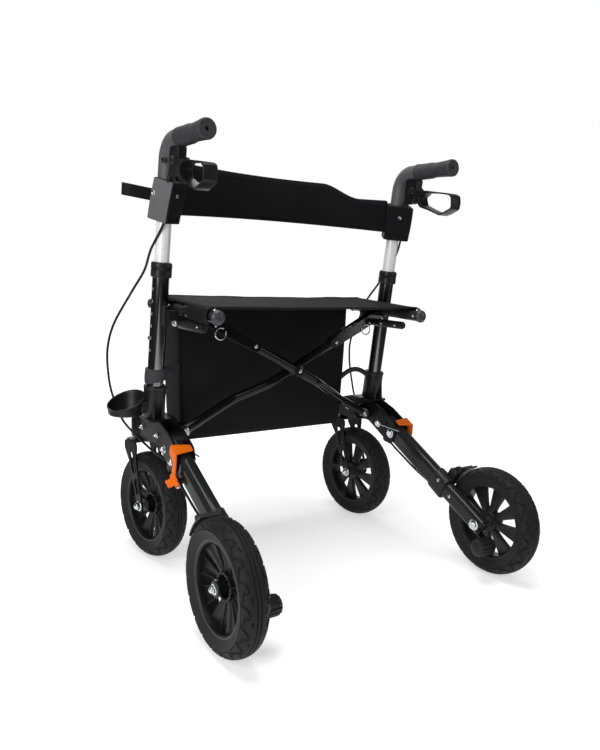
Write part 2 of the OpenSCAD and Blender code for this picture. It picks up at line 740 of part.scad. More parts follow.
// A ribbed foot knob behind the wheel, on a bent strip from the leg's end
module kerb_pedal(s) {
    knob_d = 32;
    knob_x = [leg_x - leg_w / 2 - 18, leg_x + leg_w / 2 - 9];
    strip_t = 4;
    knob = [-leg_end - 30, -14];
    strip_w = 18;
    strip_z = [-16, 14];
    rib_w = 4;
    rib_step = 7;
    x0 = leg_x - strip_w / 2;
    y1 = -leg_end - fit;
    color(rubber) side(s) on_leg() {
        translate([0, knob.x, knob.y]) {
            x_rod(knob_d, knob_x[0], knob_x[1]);
            for (x = [knob_x[0]:rib_step:knob_x[1] - rib_w]) translate([x, 0, 0]) x_rod(knob_d + 4, 0, rib_w);
        }
        box([x0, knob.x, strip_z[0]], [x0 + strip_w, y1, strip_z[0] + strip_t]);
        box([x0, y1 - strip_t, strip_z[0]], [x0 + strip_w, y1, strip_z[1]]);
    }
}

module rear_axle(s) {
    color(zinc) side(s) translate([0, rear_y, axle_z])
        axle_bolt(leg_x - leg_w / 2 - fit, wheel_x + hub_half + slack);
}

module rear_rim(s) {
    color(graphite) side(s) translate([wheel_x, rear_y, axle_z]) wheel_rim();
}

module rear_tyre(s) {
    color(rubber) side(s) translate([wheel_x, rear_y, axle_z]) wheel_tyre();
}

// The latch: a strap over the leg, hinged on the leg's outer side, with a pull tab and its pin
module latch_lever(s) {
    x0 = plate_in - plate_t + 1;
    x1 = latch_axis_x + latch_t / 2;
    top = leg_h / 2 + 0.6;
    gap = 0.4;
    knuckles = [[latch_span[0], latch_lug[0] - gap], [latch_lug[1] + gap, latch_span[1]]];
    tab_turn = -35;
    tab_len = 24;
    color(orange) side(s) on_leg() difference() {
        union() {
            box([x0, latch_span[0], top], [x1, latch_span[1], top + latch_t]);
            box([x1 - latch_t, latch_span[0], latch_axis_z + 3], [x1, latch_span[1], top + 1]);
            translate([latch_axis_x, 0, latch_axis_z]) {
                y_rod(latch_pin_d, latch_span[0] + 1, latch_span[1] - 1);
                for (k = knuckles) y_rod(latch_barrel_d, k[0], k[1]);
                rotate([0, tab_turn, 0])
                    box([-latch_t / 2, knuckles[0][0], -tab_len], [latch_t / 2, knuckles[0][1], -3]);
            }
        }
        difference() {
            box([x0 + 20, latch_lug[0] - gap, latch_axis_z - 8], [x1 + 1, latch_lug[1] + gap, latch_axis_z + 8]);
            translate([latch_axis_x, 0, latch_axis_z]) y_rod(latch_pin_d, latch_span[0], latch_span[1]);
        }
    }
}

// The latch's wire: an eye on the latch bolt and a rod back to the strap
module latch_wire(s) {
    x = plate_in - plate_t - wire_d / 2 - 0.5;
    eye = bolt_d + 2 * wire_d;
    from = latch_bolt;
    to = [latch_span[1] - 4, leg_h / 2 + 2];
    run = to - from;
    color(zinc) side(s) on_leg() difference() {
        union() {
            translate([0, from.x, from.y]) {
                x_rod(eye, x - wire_d / 2, x + wire_d / 2);
                rotate([atan2(run.y, run.x), 0, 0])
                    translate([x, 0, 0]) y_rod(wire_d, bolt_d / 2 + 1, norm(run));
            }
        }
        translate([0, from.x, from.y]) x_rod(bolt_d + 2 * fit, x - wire_d, x + wire_d);
    }
}

// Seat rail with a domed cap in each end
module seat_rail(s) {
    wall = 2;
    cap_d = rail_d + 3;
    plug = 14;
    color(graphite) side(s) translate([rail_x, 0, rail_z]) {
        difference() {
            y_rod(rail_d, rail_rear, rail_front);
            y_rod(rail_d - 2 * wall, rail_rear - 1, rail_front + 1);
        }
        for (end = [[rail_rear, -1], [rail_front, 1]]) translate([0, end[0], 0]) rotate([-90 * end[1], 0, 0]) {
            translate([0, 0, -plug]) cylinder(d = rail_d - 2 * wall - 2 * fit, h = plug + 2);
            intersection() {
                translate([0, 0, -cap_d * 0.55]) sphere(d = cap_d * 1.5);
                translate([0, 0, fit]) cylinder(d = cap_d, h = cap_d);
            }
        }
    }
}

// Cross tube: a knuckle round the rail, a flat yoke, a straight run past the pivot, and an S-bend
// forward to the lower bolt. Drawn along X from the pivot down to the right, then sloped.
function cross_path(shift) =
    let (r = cross_bend_r,
        run = (shift - 2 * r * (1 - cos(cross_bend))) / sin(cross_bend),
        far = cross_bend_at + 2 * r * sin(cross_bend) + run * cos(cross_bend))
    concat([[-high_arm + rail_d / 2 + 4, 0, 0]],
        [for (a = [0:5:cross_bend]) [cross_bend_at + r * sin(a), r * (1 - cos(a)), 0]],
        [for (a = [cross_bend:-5:0]) [far - r * sin(a), shift - r * (1 - cos(a)), 0]],
        [[low_arm - 6, shift, 0]]);

module cross_half(y, with_bolt) {
    shift = low_y - y;
    difference() {
        union() {
            swept_tube(cross_path(shift), cross_d / 2, 16);
            translate([low_arm, shift, 0]) y_rod(eye_d, -eye_w / 2, eye_w / 2);
            box([-high_arm + rail_d / 2 + 2, -knuckle_w / 2, -yoke_h / 2],
                [-high_arm + yoke_len, knuckle_w / 2, yoke_h / 2]);
            translate([-high_arm, 0, 0]) y_rod(knuckle_d, -knuckle_w / 2, knuckle_w / 2);
            if (with_bolt) y_rod(bolt_d + 12, cross_d / 2 - 2, cross_d / 2 + cross_gap - 0.4);
        }
        translate([low_arm, shift, 0]) y_rod(bolt_d + 2 * fit, -eye_w, eye_w);
        translate([-high_arm, 0, 0]) y_rod(rail_d + 2 * fit, -knuckle_w, knuckle_w);
        y_rod(bolt_d + 2 * fit, -cross_d, cross_d);
    }
}

// The right tube runs from the right lower bolt to the left rail and passes behind, with the pivot bolt in it
module right_cross_tube() {
    color(black) translate([0, cross_y, centre_z]) rotate([0, cross_slope, 0]) cross_half(cross_y, true);
    color(zinc) translate([0, 0, centre_z]) {
        y_rod(bolt_d, cross_y - cross_d / 2 - 1, cross_y2 + cross_d / 2 + 1);
        y_rod(bolt_d + 8, cross_y - cross_d / 2 - 6, cross_y - cross_d / 2 - fit);
        y_rod(bolt_d + 8, cross_y2 + cross_d / 2 + slack, cross_y2 + cross_d / 2 + 6);
    }
}

module left_cross_tube() {
    color(black) translate([0, cross_y2, centre_z]) mirror([1, 0, 0]) rotate([0, cross_slope, 0])
        cross_half(cross_y2, false);
}

// Brake cables
module upper_cable(s, points) {
    low = leg_point(0, cable_stop_y + cable_stop_l, -38).z;
    hung = [for (p = points) [up_x + p.x, foot_y + p.y, low + p.z * (lever_pin.z - low)]];
    color(rubber) side(s) swept_tube(curve(hung, 4), cable_d / 2, 8);
}

module lower_cable(s) {
    points = [for (p = low_cable) leg_point(leg_x + 6, p.x, p.y)];
    color(rubber) side(s) swept_tube(curve(points, 3), cable_d / 2, 8);
}

// The sling seat: a sagging sheet hemmed round both rails
module seat_fabric() {
    half = rail_x + 8;
    hem = rail_d / 2 + slack;
    hem_lap = 1;
    hem_d = knuckle_d + 2 * (seat_room + hem_lap);
    top = [for (x = [-half:half / 8:half]) [x, seat_under + seat_t - seat_sag * (1 - pow(x / half, 2))]];
    low = [for (x = [half:-half / 8:-half]) [x, seat_under - seat_sag * (1 - pow(x / half, 2))]];
    window = [cross_y - knuckle_w / 2 - 4, saddle_y1 + 4];
    color(cloth) {
        translate([0, seat_y1, 0]) rotate([90, 0, 0]) linear_extrude(seat_y1 - seat_y0) polygon(concat(top, low));
        for (s = [-1, 1], span = [[seat_y0, window[0]], [window[1], seat_y1]])
            side(s) translate([rail_x, 0, rail_z]) difference() {
                y_rod(hem_d, span[0], span[1]);
                y_rod(2 * hem, span[0] - 1, span[1] + 1);
                box([-60, span[0] - 1, -60], [0, span[1] + 1, hem]);
                box([-60, span[0] - 1, -60], [60, span[1] + 1, -8]);
            }
    }
}

// The backrest: a padded band, crowned along its middle, with a fabric sleeve round each handle and a
// cane loop
function ease(from, to, v) = let (t = min(max((v - from) / (to - from), 0), 1)) t * t * (3 - 2 * t);

function plump(v) = sign(v) * pow(abs(v), 0.62);

function back_ring(u) =
    let (bow = 1 - u * u,
        low = back_low + back_arch * bow,
        raised = back_low + back_arch + back_h - back_end_top,
        high = back_end_top + raised * (1 - ease(shoulder[0], shoulder[1], abs(u))),
        t = back_end_t + (back_t - back_end_t) * (1 - pow(u, 4)),
        centre = [u * back_half, back_y + back_bow * bow, (low + high) / 2])
    [for (i = [0:back_sides - 1]) let (a = i * 360 / back_sides)
        centre + [0, t / 2 * plump(cos(a)), (high - low) / 2 * plump(sin(a))]];

module backrest() {
    sleeve_y = (sleeve_front - sleeve_back) / 2;
    sleeve_d = sleeve_front + sleeve_back;
    loop_t = 3;
    loop_h = 24;
    loop_w = 44;
    loop_in = 24;
    loop_r = loop_w / 2 - 0.1;
    color(cloth) {
        loft([for (i = [0:back_steps]) back_ring(2 * i / back_steps - 1)]);
        for (s = [-1, 1]) side(s) on_upright(sleeve_h0) translate([0, sleeve_y, 0]) difference() {
            linear_extrude(sleeve_h1 - sleeve_h0) rounded_rect(sleeve_w, sleeve_d, sleeve_r);
            translate([0, 0, -1]) linear_extrude(sleeve_h1 - sleeve_h0 + 2)
                rounded_rect(post_d + 2 * slack, sleeve_d - 2 * sleeve_wall, sleeve_r - sleeve_wall);
        }
        side(-1) on_upright((sleeve_h0 + sleeve_h1) / 2 - 2) translate([sleeve_w / 2 - 0.5, 0, 0])
            linear_extrude(loop_h) difference() {
                translate([(loop_len - loop_in) / 2, 0]) difference() {
                    rounded_rect(loop_len + loop_in, loop_w, loop_r);
                    rounded_rect(loop_len + loop_in - 2 * loop_t, loop_w - 2 * loop_t, loop_r - loop_t);
                }
                translate([-loop_in - 6, -loop_w]) square([loop_in + 6, 2 * loop_w]);
            }
    }
}

// The shopping bag: an open box of cloth under the seat, strapped to the uprights
module bag() {
    t = 3;
    y0 = foot_y + 11;
    z1 = rail_z + 2;
    strap_h = 90;
    strap = up_point(strap_h);
    ring_d = upright_d + 2 * slack;
    half = low_x - bag_inset;
    color(cloth) {
        difference() {
            box([-half, y0, z1 - bag_h], [half, y0 + bag_depth, z1]);
            box([-half + t, y0 + t, z1 - bag_h + t], [half - t, y0 + bag_depth - t, z1 + 1]);
        }
        for (s = [-1, 1]) side(s) difference() {
            union() {
                on_upright(strap_h) cylinder(d = ring_d + 2 * t, h = 14);
                translate([0, 0, strap.z]) linear_extrude(13)
                    polygon([[half - 1, y0 + 14], [half - 1, y0 + 17], [strap.x - 8, strap.y + 20], [strap.x - 12, strap.y + 16]]);
            }
            on_upright(strap_h - 5) cylinder(d = ring_d, h = 30);
        }
    }
}

// The shallow cup for a cane's foot, on an arm from the left socket
module cane_cup() {
    wall = 2.5;
    floor_t = 3;
    cup_out = 56.5;
    cup_ahead = 14;
    cup_rise = 6.5;
    arm_w = 26;
    arm_h = 18;
    arm_lap = 22;
    cup_x = up_x + cup_out;
    cup_y = foot_y + cup_ahead;
    cup_z = deck_z + cup_rise;
    arm_at = [cup_y - 30, cup_z + 4];
    color(graphite) side(-1) difference() {
        union() {
            translate([cup_x, cup_y, cup_z]) cylinder(d = cup_d, h = cup_h, $fn = 64);
            box([up_x + socket_rib + fit, arm_at.x, arm_at.y],
                [cup_x - cup_d / 2 + arm_lap, arm_at.x + arm_w, arm_at.y + arm_h]);
        }
        translate([cup_x, cup_y, cup_z + floor_t]) cylinder(d = cup_d - 2 * wall, h = cup_h, $fn = 64);
        on_upright(-20) cylinder(d = socket_d + 2 * fit, h = 140);
    }
}

upright(-1);  // left_upright
upright(1);  // right_upright
collar(-1);  // left_collar
collar(1);  // right_collar
frame_bracket(-1);  // left_frame_bracket
frame_bracket(1);  // right_frame_bracket
foot_socket(-1);  // left_foot_socket
foot_socket(1);  // right_foot_socket
frame_bolts(-1);  // left_frame_bolts
frame_bolts(1);  // right_frame_bolts
seat_saddle(-1);  // left_seat_saddle
seat_saddle(1);  // right_seat_saddle
handle_tube(-1);  // left_handle_tube
handle_tube(1);  // right_handle_tube
handle_post(-1);  // left_handle_post
handle_post(1);  // right_handle_post
grip(-1);  // left_grip
grip(1);  // right_grip
brake_lever(-1);  // left_brake_lever
brake_lever(1);  // right_brake_lever
height_button(-1);  // left_height_button
height_button(1);  // right_height_button
caster_fork(-1, left_caster_turn);  // left_caster_fork
caster_fork(1, right_caster_turn);  // right_caster_fork
front_axle(-1, left_caster_turn);  // left_front_axle
front_axle(1, right_caster_turn);  // right_front_axle
front_rim(-1, left_caster_turn);  // left_front_rim
front_rim(1, right_caster_turn);  // right_front_rim
front_tyre(-1, left_caster_turn);  // left_front_tyre
front_tyre(1, right_caster_turn);  // right_front_tyre
rear_leg(-1);  // left_rear_leg
rear_leg(1);  // right_rear_leg
brake_guard(-1);  // left_brake_guard
brake_guard(1);  // right_brake_guard
brake_shoe(-1);  // left_brake_shoe
brake_shoe(1);  // right_brake_shoe
kerb_pedal(-1);  // left_kerb_pedal
kerb_pedal(1);  // right_kerb_pedal
rear_axle(-1);  // left_rear_axle
rear_axle(1);  // right_rear_axle
rear_rim(-1);  // left_rear_rim
rear_rim(1);  // right_rear_rim
rear_tyre(-1);  // left_rear_tyre
rear_tyre(1);  // right_rear_tyre
latch_lever(-1);  // left_latch_lever
latch_lever(1);  // right_latch_lever
latch_wire(-1);  // left_latch_wire
latch_wire(1);  // right_latch_wire
seat_rail(-1);  // left_seat_rail
seat_rail(1);  // right_seat_rail
left_cross_tube();
right_cross_tube();
upper_cable(-1, left_cable);  // left_upper_cable
upper_cable(1, right_cable);  // right_upper_cable
lower_cable(-1);  // left_lower_cable
lower_cable(1);  // right_lower_cable
seat_fabric();
backrest();
bag();
cane_cup();
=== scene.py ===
import json
import math

import bpy
import numpy as np
from mathutils import Matrix, Vector, noise


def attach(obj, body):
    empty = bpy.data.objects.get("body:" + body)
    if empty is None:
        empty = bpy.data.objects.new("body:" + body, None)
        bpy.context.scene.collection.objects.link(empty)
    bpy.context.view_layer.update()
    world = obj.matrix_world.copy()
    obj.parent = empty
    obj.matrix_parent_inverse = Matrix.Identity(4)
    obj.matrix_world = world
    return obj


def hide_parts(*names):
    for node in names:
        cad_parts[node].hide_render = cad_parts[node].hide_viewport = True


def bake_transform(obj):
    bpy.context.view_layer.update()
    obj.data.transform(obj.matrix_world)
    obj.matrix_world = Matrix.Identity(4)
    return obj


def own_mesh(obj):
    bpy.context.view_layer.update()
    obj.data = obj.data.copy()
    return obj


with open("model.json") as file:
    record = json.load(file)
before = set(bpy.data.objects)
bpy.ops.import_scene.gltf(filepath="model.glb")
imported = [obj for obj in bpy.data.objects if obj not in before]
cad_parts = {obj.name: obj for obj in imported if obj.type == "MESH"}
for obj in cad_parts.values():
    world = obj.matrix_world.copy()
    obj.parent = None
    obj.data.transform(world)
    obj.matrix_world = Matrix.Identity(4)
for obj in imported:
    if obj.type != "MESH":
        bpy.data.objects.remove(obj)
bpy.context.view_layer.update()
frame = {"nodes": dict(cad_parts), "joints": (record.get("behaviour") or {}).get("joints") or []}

# Studio: a pale sweep of floor and a white backdrop, lit by large soft panels on stands.
# The camera stands behind and to the left, a little above the seat, and looks slightly down.
CAMERA_AT = Vector((-0.828, -1.1615, 0.635))
CAMERA_YAW = math.radians(-33.96)
CAMERA_PITCH = math.radians(-8.70)
CAMERA_ROLL = math.radians(2.2)
FOCAL_PIXELS = 686.6
FRAME_HEIGHT_PIXELS = 750
SENSOR_MM = 36
FLOOR_HALF = 14
SWEEP_EDGE, SWEEP_FULL = 0.5, 0.93
SWEEP_FAN = 0.5
FAN_EDGE, FAN_PAST = 0.1, 0.5
PAPER_TONE = 0.86
GLOW_NEAR, GLOW_FAR = 0.2, 3.2
GLOW_LOW, GLOW_HIGH = 0.50, 0.95
DIM_FLOOR = 0.07
scene = bpy.context.scene
scene.view_settings.view_transform = "Standard"

ahead = Vector((-math.sin(CAMERA_YAW) * math.cos(CAMERA_PITCH),
                math.cos(CAMERA_YAW) * math.cos(CAMERA_PITCH), math.sin(CAMERA_PITCH)))
level = Vector((math.cos(CAMERA_YAW), math.sin(CAMERA_YAW), 0))
upward = level.cross(ahead)
rolled_right = level * math.cos(CAMERA_ROLL) + upward * math.sin(CAMERA_ROLL)
rolled_up = upward * math.cos(CAMERA_ROLL) - level * math.sin(CAMERA_ROLL)
camera = bpy.data.objects.new("camera", bpy.data.cameras.new("camera"))
scene.collection.objects.link(camera)
camera.data.sensor_width = SENSOR_MM
camera.data.lens = FOCAL_PIXELS * SENSOR_MM / FRAME_HEIGHT_PIXELS
camera_turn = Matrix((rolled_right, rolled_up, -ahead)).transposed().to_4x4()
camera.matrix_world = Matrix.Translation(CAMERA_AT) @ camera_turn
scene.camera = camera


def nodes_of(owner):
    """The empty node tree of a material or world, ready to be wired."""
    owner.use_nodes = True
    owner.node_tree.nodes.clear()
    return owner.node_tree


def add_node(tree, kind, inputs=(), **settings):
    """One node, with its settings, and its inputs set to values or wired from other nodes' outputs."""
    node = tree.nodes.new(kind)
    for key, value in settings.items():
        setattr(node, key, value)
    for key, value in dict(inputs).items():
        if isinstance(value, bpy.types.NodeSocket):
            tree.links.new(value, node.inputs[key])
        else:
            node.inputs[key].default_value = value
    return node


def sum_node(tree, operation, *values):
    """The outcome of one sum on values or on other nodes' outputs."""
    return add_node(tree, "ShaderNodeMath", dict(enumerate(values)), operation=operation).outputs[0]


def seen_directly(tree):
    """1 on rays from the camera, and on those that metal and clear plastic send back to it."""
    path = add_node(tree, "ShaderNodeLightPath").outputs
    glossy = sum_node(tree, "MAXIMUM", path["Is Camera Ray"], path["Is Glossy Ray"])
    return sum_node(tree, "MAXIMUM", glossy, path["Is Transmission Ray"])


def light_the_room(backdrop, studio, fill):
    """White where the camera looks; what shines shows the sweep and the dim studio; a soft grey fill."""
    world = bpy.data.worlds.new("studio")
    tree = nodes_of(world)
    path = add_node(tree, "ShaderNodeLightPath").outputs
    way = add_node(tree, "ShaderNodeTexCoord").outputs["Generated"]
    facing = add_node(tree, "ShaderNodeVectorMath", {0: way, 1: (ahead.x, ahead.y, 0)},
                      operation="DOT_PRODUCT")
    sweep_level = add_node(tree, "ShaderNodeMapRange", {
        "Value": facing.outputs["Value"], "From Min": SWEEP_EDGE, "From Max": SWEEP_FULL, "To Min": studio,
        "To Max": backdrop}, interpolation_type="SMOOTHSTEP")
    shown = add_node(tree, "ShaderNodeMix", {0: path["Is Glossy Ray"], 2: fill, 3: sweep_level.outputs[0]})
    clear = sum_node(tree, "MAXIMUM", path["Is Camera Ray"], path["Is Transmission Ray"])
    strength = add_node(tree, "ShaderNodeMix", {0: clear, 2: shown.outputs[0], 3: backdrop})
    glow = add_node(tree, "ShaderNodeBackground", {"Color": (1, 1, 1, 1), "Strength": strength.outputs[0]})
    add_node(tree, "ShaderNodeOutputWorld", {"Surface": glow.outputs[0]})
    scene.world = world


def soft_panel(name, at, aim, size, watts):
    """A panel of cloth-covered light, turned to what it lights."""
    lamp = bpy.data.objects.new(name, bpy.data.lights.new(name, "AREA"))
    lamp.data.shape = "RECTANGLE"
    lamp.data.size, lamp.data.size_y = size
    lamp.data.energy = watts
    lamp.location = at
    lamp.rotation_euler = (Vector(aim) - Vector(at)).to_track_quat("-Z", "Y").to_euler()
    scene.collection.objects.link(lamp)


light_the_room(backdrop=1.0, studio=0.05, fill=0.15)
soft_panel("left_panel", (-2.1, -1.0, 1.15), (-0.1, 0, 0.5), (1.3, 2.0), 34)
soft_panel("top_panel", (-0.3, 0.0, 2.7), (0, 0, 0.3), (1.6, 1.6), 42)
soft_panel("right_panel", (1.6, -1.6, 1.0), (0.1, 0, 0.5), (0.3, 1.7), 5)
soft_panel("back_panel", (0.9, 2.6, 1.7), (0, 0, 0.5), (1.0, 1.0), 10)

floor_corners = [(x * FLOOR_HALF, y * FLOOR_HALF, 0) for x, y in ((-1, -1), (1, -1), (1, 1), (-1, 1))]
floor_mesh = bpy.data.meshes.new("floor")
floor_mesh.from_pydata(floor_corners, [], [(0, 1, 2, 3)])
floor = bpy.data.objects.new("floor", floor_mesh)
scene.collection.objects.link(floor)


def floor_paper():
    """Matt paper that glows where it is seen; what shines sees a dim floor outside the camera's fan."""
    paper = bpy.data.materials.new("floor_paper")
    tree = nodes_of(paper)
    matt = add_node(tree, "ShaderNodeBsdfDiffuse", {"Color": (PAPER_TONE, PAPER_TONE, PAPER_TONE, 1)})
    place = add_node(tree, "ShaderNodeTexCoord").outputs["Object"]
    far = add_node(tree, "ShaderNodeVectorMath", {0: place}, operation="LENGTH")
    brightness = add_node(tree, "ShaderNodeMapRange", {
        "Value": far.outputs["Value"], "From Min": GLOW_NEAR, "From Max": GLOW_FAR, "To Min": GLOW_LOW,
        "To Max": GLOW_HIGH}, interpolation_type="SMOOTHSTEP")
    lift = sum_node(tree, "MULTIPLY", seen_directly(tree), brightness.outputs[0])
    glow = add_node(tree, "ShaderNodeEmission", {"Strength": lift})
    lit_paper = add_node(tree, "ShaderNodeAddShader", {0: matt.outputs[0], 1: glow.outputs[0]})
    away = add_node(tree, "ShaderNodeVectorMath", {0: place, 1: CAMERA_AT}, operation="SUBTRACT").outputs[0]
    along = add_node(tree, "ShaderNodeVectorMath", {0: away, 1: (ahead.x, ahead.y, 0)},
                     operation="DOT_PRODUCT")
    aside = add_node(tree, "ShaderNodeVectorMath", {0: away, 1: level}, operation="DOT_PRODUCT")
    fan_half = sum_node(tree, "MULTIPLY", along.outputs["Value"], SWEEP_FAN)
    past = sum_node(tree, "SUBTRACT", sum_node(tree, "ABSOLUTE", aside.outputs["Value"]), fan_half)
    outside = add_node(tree, "ShaderNodeMapRange", {
        "Value": past, "From Min": FAN_EDGE, "From Max": FAN_PAST}, interpolation_type="SMOOTHSTEP")
    glossy = add_node(tree, "ShaderNodeLightPath").outputs["Is Glossy Ray"]
    dim_share = sum_node(tree, "MULTIPLY", outside.outputs[0], glossy)
    dim = add_node(tree, "ShaderNodeEmission", {"Strength": DIM_FLOOR})
    mixed = add_node(tree, "ShaderNodeMixShader", {0: dim_share, 1: lit_paper.outputs[0], 2: dim.outputs[0]})
    add_node(tree, "ShaderNodeOutputMaterial", {"Surface": mixed.outputs[0]})
    return paper


floor_mesh.materials.append(floor_paper())


# Side frame brackets: two stamped steel plates with a deck between them, coated black.
# They carry the upright's foot and the caster's housing, and their open channel takes the rear leg.
MM = 0.001
SIDES = (("left", -1), ("right", 1))
LEG_SLOPE = math.radians(27)
joint = {j["name"]: j for j in frame["joints"]}


def pivot(name):
    """A joint's place in millimetres."""
    return Vector(joint[name]["pos_m"]) / MM


LEG_PIVOT = pivot("right_leg_fold")
SWIVEL = pivot("right_swivel")
LOW_PIVOT = pivot("fold_right")
PLATE_INNER = (260.5, 264.5)
PLATE_OUTER = (295.5, 299.5)
DECK_Z = 321
FOOT = Vector((294, 175, DECK_Z))
UP_AXIS = Vector(joint["right_height"]["axis"]).normalized()


def on_leg(along, out):
    """A place in Y and Z, by the length along the leg, up towards its pivot, and the way out from it."""
    c, s = math.cos(LEG_SLOPE), math.sin(LEG_SLOPE)
    return LEG_PIVOT.y + along * c - out * s, LEG_PIVOT.z + along * s + out * c


def on_upright(height, across=0.0, ahead_by=0.0):
    """A place on the right upright, by the height along its leaning axis and the offsets from it."""
    forward = Vector((1, 0, 0)).cross(UP_AXIS) * -1
    return FOOT + UP_AXIS * height + Vector((across, 0, 0)) + forward * ahead_by


def finish(name, colour, roughness, grain, depth, mottle=0.25, metallic=0.0, shine=0.3, edge_scuff_and_highlight=0.03):
    """A coated or moulded surface: fine grain, a slow mottle in colour and gloss, and paler edges, partly
    wear and partly a painted edge highlight.
    """
    material = bpy.data.materials.new(name)
    tree = nodes_of(material)
    place = add_node(tree, "ShaderNodeTexCoord").outputs["Object"]
    slow = add_node(tree, "ShaderNodeTexNoise", {
        "Vector": place, "Scale": 17.0, "Detail": 5.0, "Roughness": 0.6})
    fine = add_node(tree, "ShaderNodeTexNoise", {"Vector": place, "Scale": grain, "Detail": 2.0})
    dark = [c * (1 - mottle) for c in colour] + [1]
    pale = [c * (1 + mottle) for c in colour] + [1]
    tone = add_node(tree, "ShaderNodeMix", {0: slow.outputs[0], 6: dark, 7: pale}, data_type="RGBA")
    # Convex edges are painted paler: partly wear on the coat, partly a painted edge highlight.
    edge = add_node(tree, "ShaderNodeMapRange", {
        "Value": add_node(tree, "ShaderNodeNewGeometry").outputs["Pointiness"],
        "From Min": 0.53, "From Max": 0.62, "To Min": 0.0, "To Max": 1.0})
    scuffed_highlit_colour = [min(1.0, c + edge_scuff_and_highlight) for c in colour] + [1]
    scuffed_highlit_edges = add_node(tree, "ShaderNodeMix", {0: edge.outputs[0], 6: tone.outputs[2], 7: scuffed_highlit_colour},
                      data_type="RGBA")
    gloss = add_node(tree, "ShaderNodeMapRange", {
        "Value": slow.outputs[0], "To Min": roughness * 0.82, "To Max": min(1.0, roughness * 1.2)})
    bump = add_node(tree, "ShaderNodeBump", {
        "Height": fine.outputs[0], "Strength": 0.5, "Distance": depth * MM})
    surface = add_node(tree, "ShaderNodeBsdfPrincipled", {
        "Base Color": scuffed_highlit_edges.outputs[2], "Roughness": gloss.outputs[0], "Normal": bump.outputs[0],
        "Metallic": metallic, "Specular IOR Level": shine})
    add_node(tree, "ShaderNodeOutputMaterial", {"Surface": surface.outputs[0]})
    return material


def ring_faces(rows, count, closed=True, caps=True):
    """Quads over rows of points, with the first and last row closed where the shape is a solid."""
    faces = []
    for i in range(rows - 1):
        for k in range(count if closed else count - 1):
            m = (k + 1) % count
            faces.append((i * count + k, i * count + m, (i + 1) * count + m, (i + 1) * count + k))
    if caps:
        faces.append(tuple(reversed(range(count))))
        faces.append(tuple((rows - 1) * count + k for k in range(count)))
    return faces


def facing_out(shape):
    """The same closed skin with its faces turned outward."""
    verts, faces = shape
    volume = 0.0
    for face in faces:
        a = verts[face[0]]
        for k in range(1, len(face) - 1):
            volume += float(np.dot(a, np.cross(verts[face[k]], verts[face[k + 1]])))
    return (verts, [tuple(reversed(f)) for f in faces]) if volume < 0 else shape


def loft(rings):
    """A closed solid over rings of points."""
    rings = [np.asarray(r, float) for r in rings]
    return facing_out((np.vstack(rings), ring_faces(len(rings), len(rings[0]))))


def hollow(rings):
    """A closed solid with a hole through it, over rings of points that come back to the first."""
    count = len(rings[0])
    last = (len(rings) - 1) * count
    faces = ring_faces(len(rings), count, caps=False)
    faces += [(last + k, last + (k + 1) % count, (k + 1) % count, k) for k in range(count)]
    return facing_out((np.vstack([np.asarray(r, float) for r in rings]), faces))


def joined(*shapes):
    """Several solids as one."""
    verts, faces, start = [], [], 0
    for v, f in shapes:
        verts.append(np.asarray(v, float))
        faces += [tuple(start + i for i in face) for face in f]
        start += len(v)
    return np.vstack(verts), faces


def moved(shape, turn=None, to=(0, 0, 0)):
    """The shape turned by a matrix and set in its place."""
    verts = np.asarray(shape[0], float)
    if turn is not None:
        verts = verts @ np.array(turn.to_3x3()).T
    return verts + np.array(to, float), shape[1]


def mirrored(shape, side):
    """A piece drawn on the right, or its mirror image for the left."""
    verts, faces = shape
    if side > 0:
        return shape
    return np.asarray(verts, float) * np.array((-1, 1, 1)), [tuple(reversed(f)) for f in faces]


def round_row(x, radius, turns):
    """A ring of points round the X axis; the radius is one value, or one for each turn."""
    return np.stack([np.full(len(turns), x), radius * np.cos(turns), radius * np.sin(turns)], 1)


def lathe(profile, count=48, axis="X"):
    """A turned solid: the profile is places along the axis with radii."""
    turns = np.linspace(0, 2 * math.pi, count, endpoint=False)
    rings = [round_row(x, r, turns) for x, r in profile]
    verts, faces = loft(rings)
    order = {"X": (0, 1, 2), "Y": (2, 0, 1), "Z": (1, 2, 0)}[axis]
    return facing_out((verts[:, order], faces))


def fillet(corners, steps=6):
    """An outline whose corners, given as places with a radius, are rounded by arcs."""
    outline = []
    for i, (a, b, radius) in enumerate(corners):
        here = Vector((a, b))
        before = Vector(corners[i - 1][:2]) - here
        after = Vector(corners[(i + 1) % len(corners)][:2]) - here
        half = before.angle(after) / 2
        reach = min(radius / max(math.tan(half), 1e-6), 0.48 * before.length, 0.48 * after.length)
        start, end = here + before.normalized() * reach, here + after.normalized() * reach
        for k in range(steps + 1):
            t = k / steps
            outline.append(tuple(start * (1 - t) ** 2 + here * 2 * t * (1 - t) + end * t ** 2))
    return outline


def plate(outline, holes, low, high, bevel=0.8, plane="YZ"):
    """A plate cut to an outline with holes, its edges broken, from low to high across its plane."""
    curve = bpy.data.curves.new("cut", "CURVE")
    curve.dimensions = "2D"
    curve.fill_mode = "BOTH"
    curve.extrude = (high - low) / 2 - bevel
    curve.bevel_depth = bevel
    curve.bevel_resolution = 2
    curve.offset = -bevel
    for points in [outline, *holes]:
        spline = curve.splines.new("POLY")
        spline.points.add(len(points) - 1)
        spline.points.foreach_set("co", np.array([(a, b, 0, 1) for a, b in points], float).ravel())
        spline.use_cyclic_u = True
    cutter = bpy.data.objects.new("cut", curve)
    scene.collection.objects.link(cutter)
    mesh = bpy.data.meshes.new_from_object(cutter.evaluated_get(bpy.context.evaluated_depsgraph_get()))
    flat = np.array([v.co for v in mesh.vertices], float).reshape(-1, 3)
    faces = [tuple(p.vertices) for p in mesh.polygons]
    bpy.data.objects.remove(cutter)
    bpy.data.meshes.remove(mesh)
    bpy.data.curves.remove(curve)
    thick = flat[:, 2] + (low + high) / 2
    columns = {"YZ": (thick, flat[:, 0], flat[:, 1]), "XY": (flat[:, 0], flat[:, 1], thick),
               "XZ": (flat[:, 0], thick, flat[:, 1])}[plane]
    return facing_out((np.stack(columns, 1), faces))


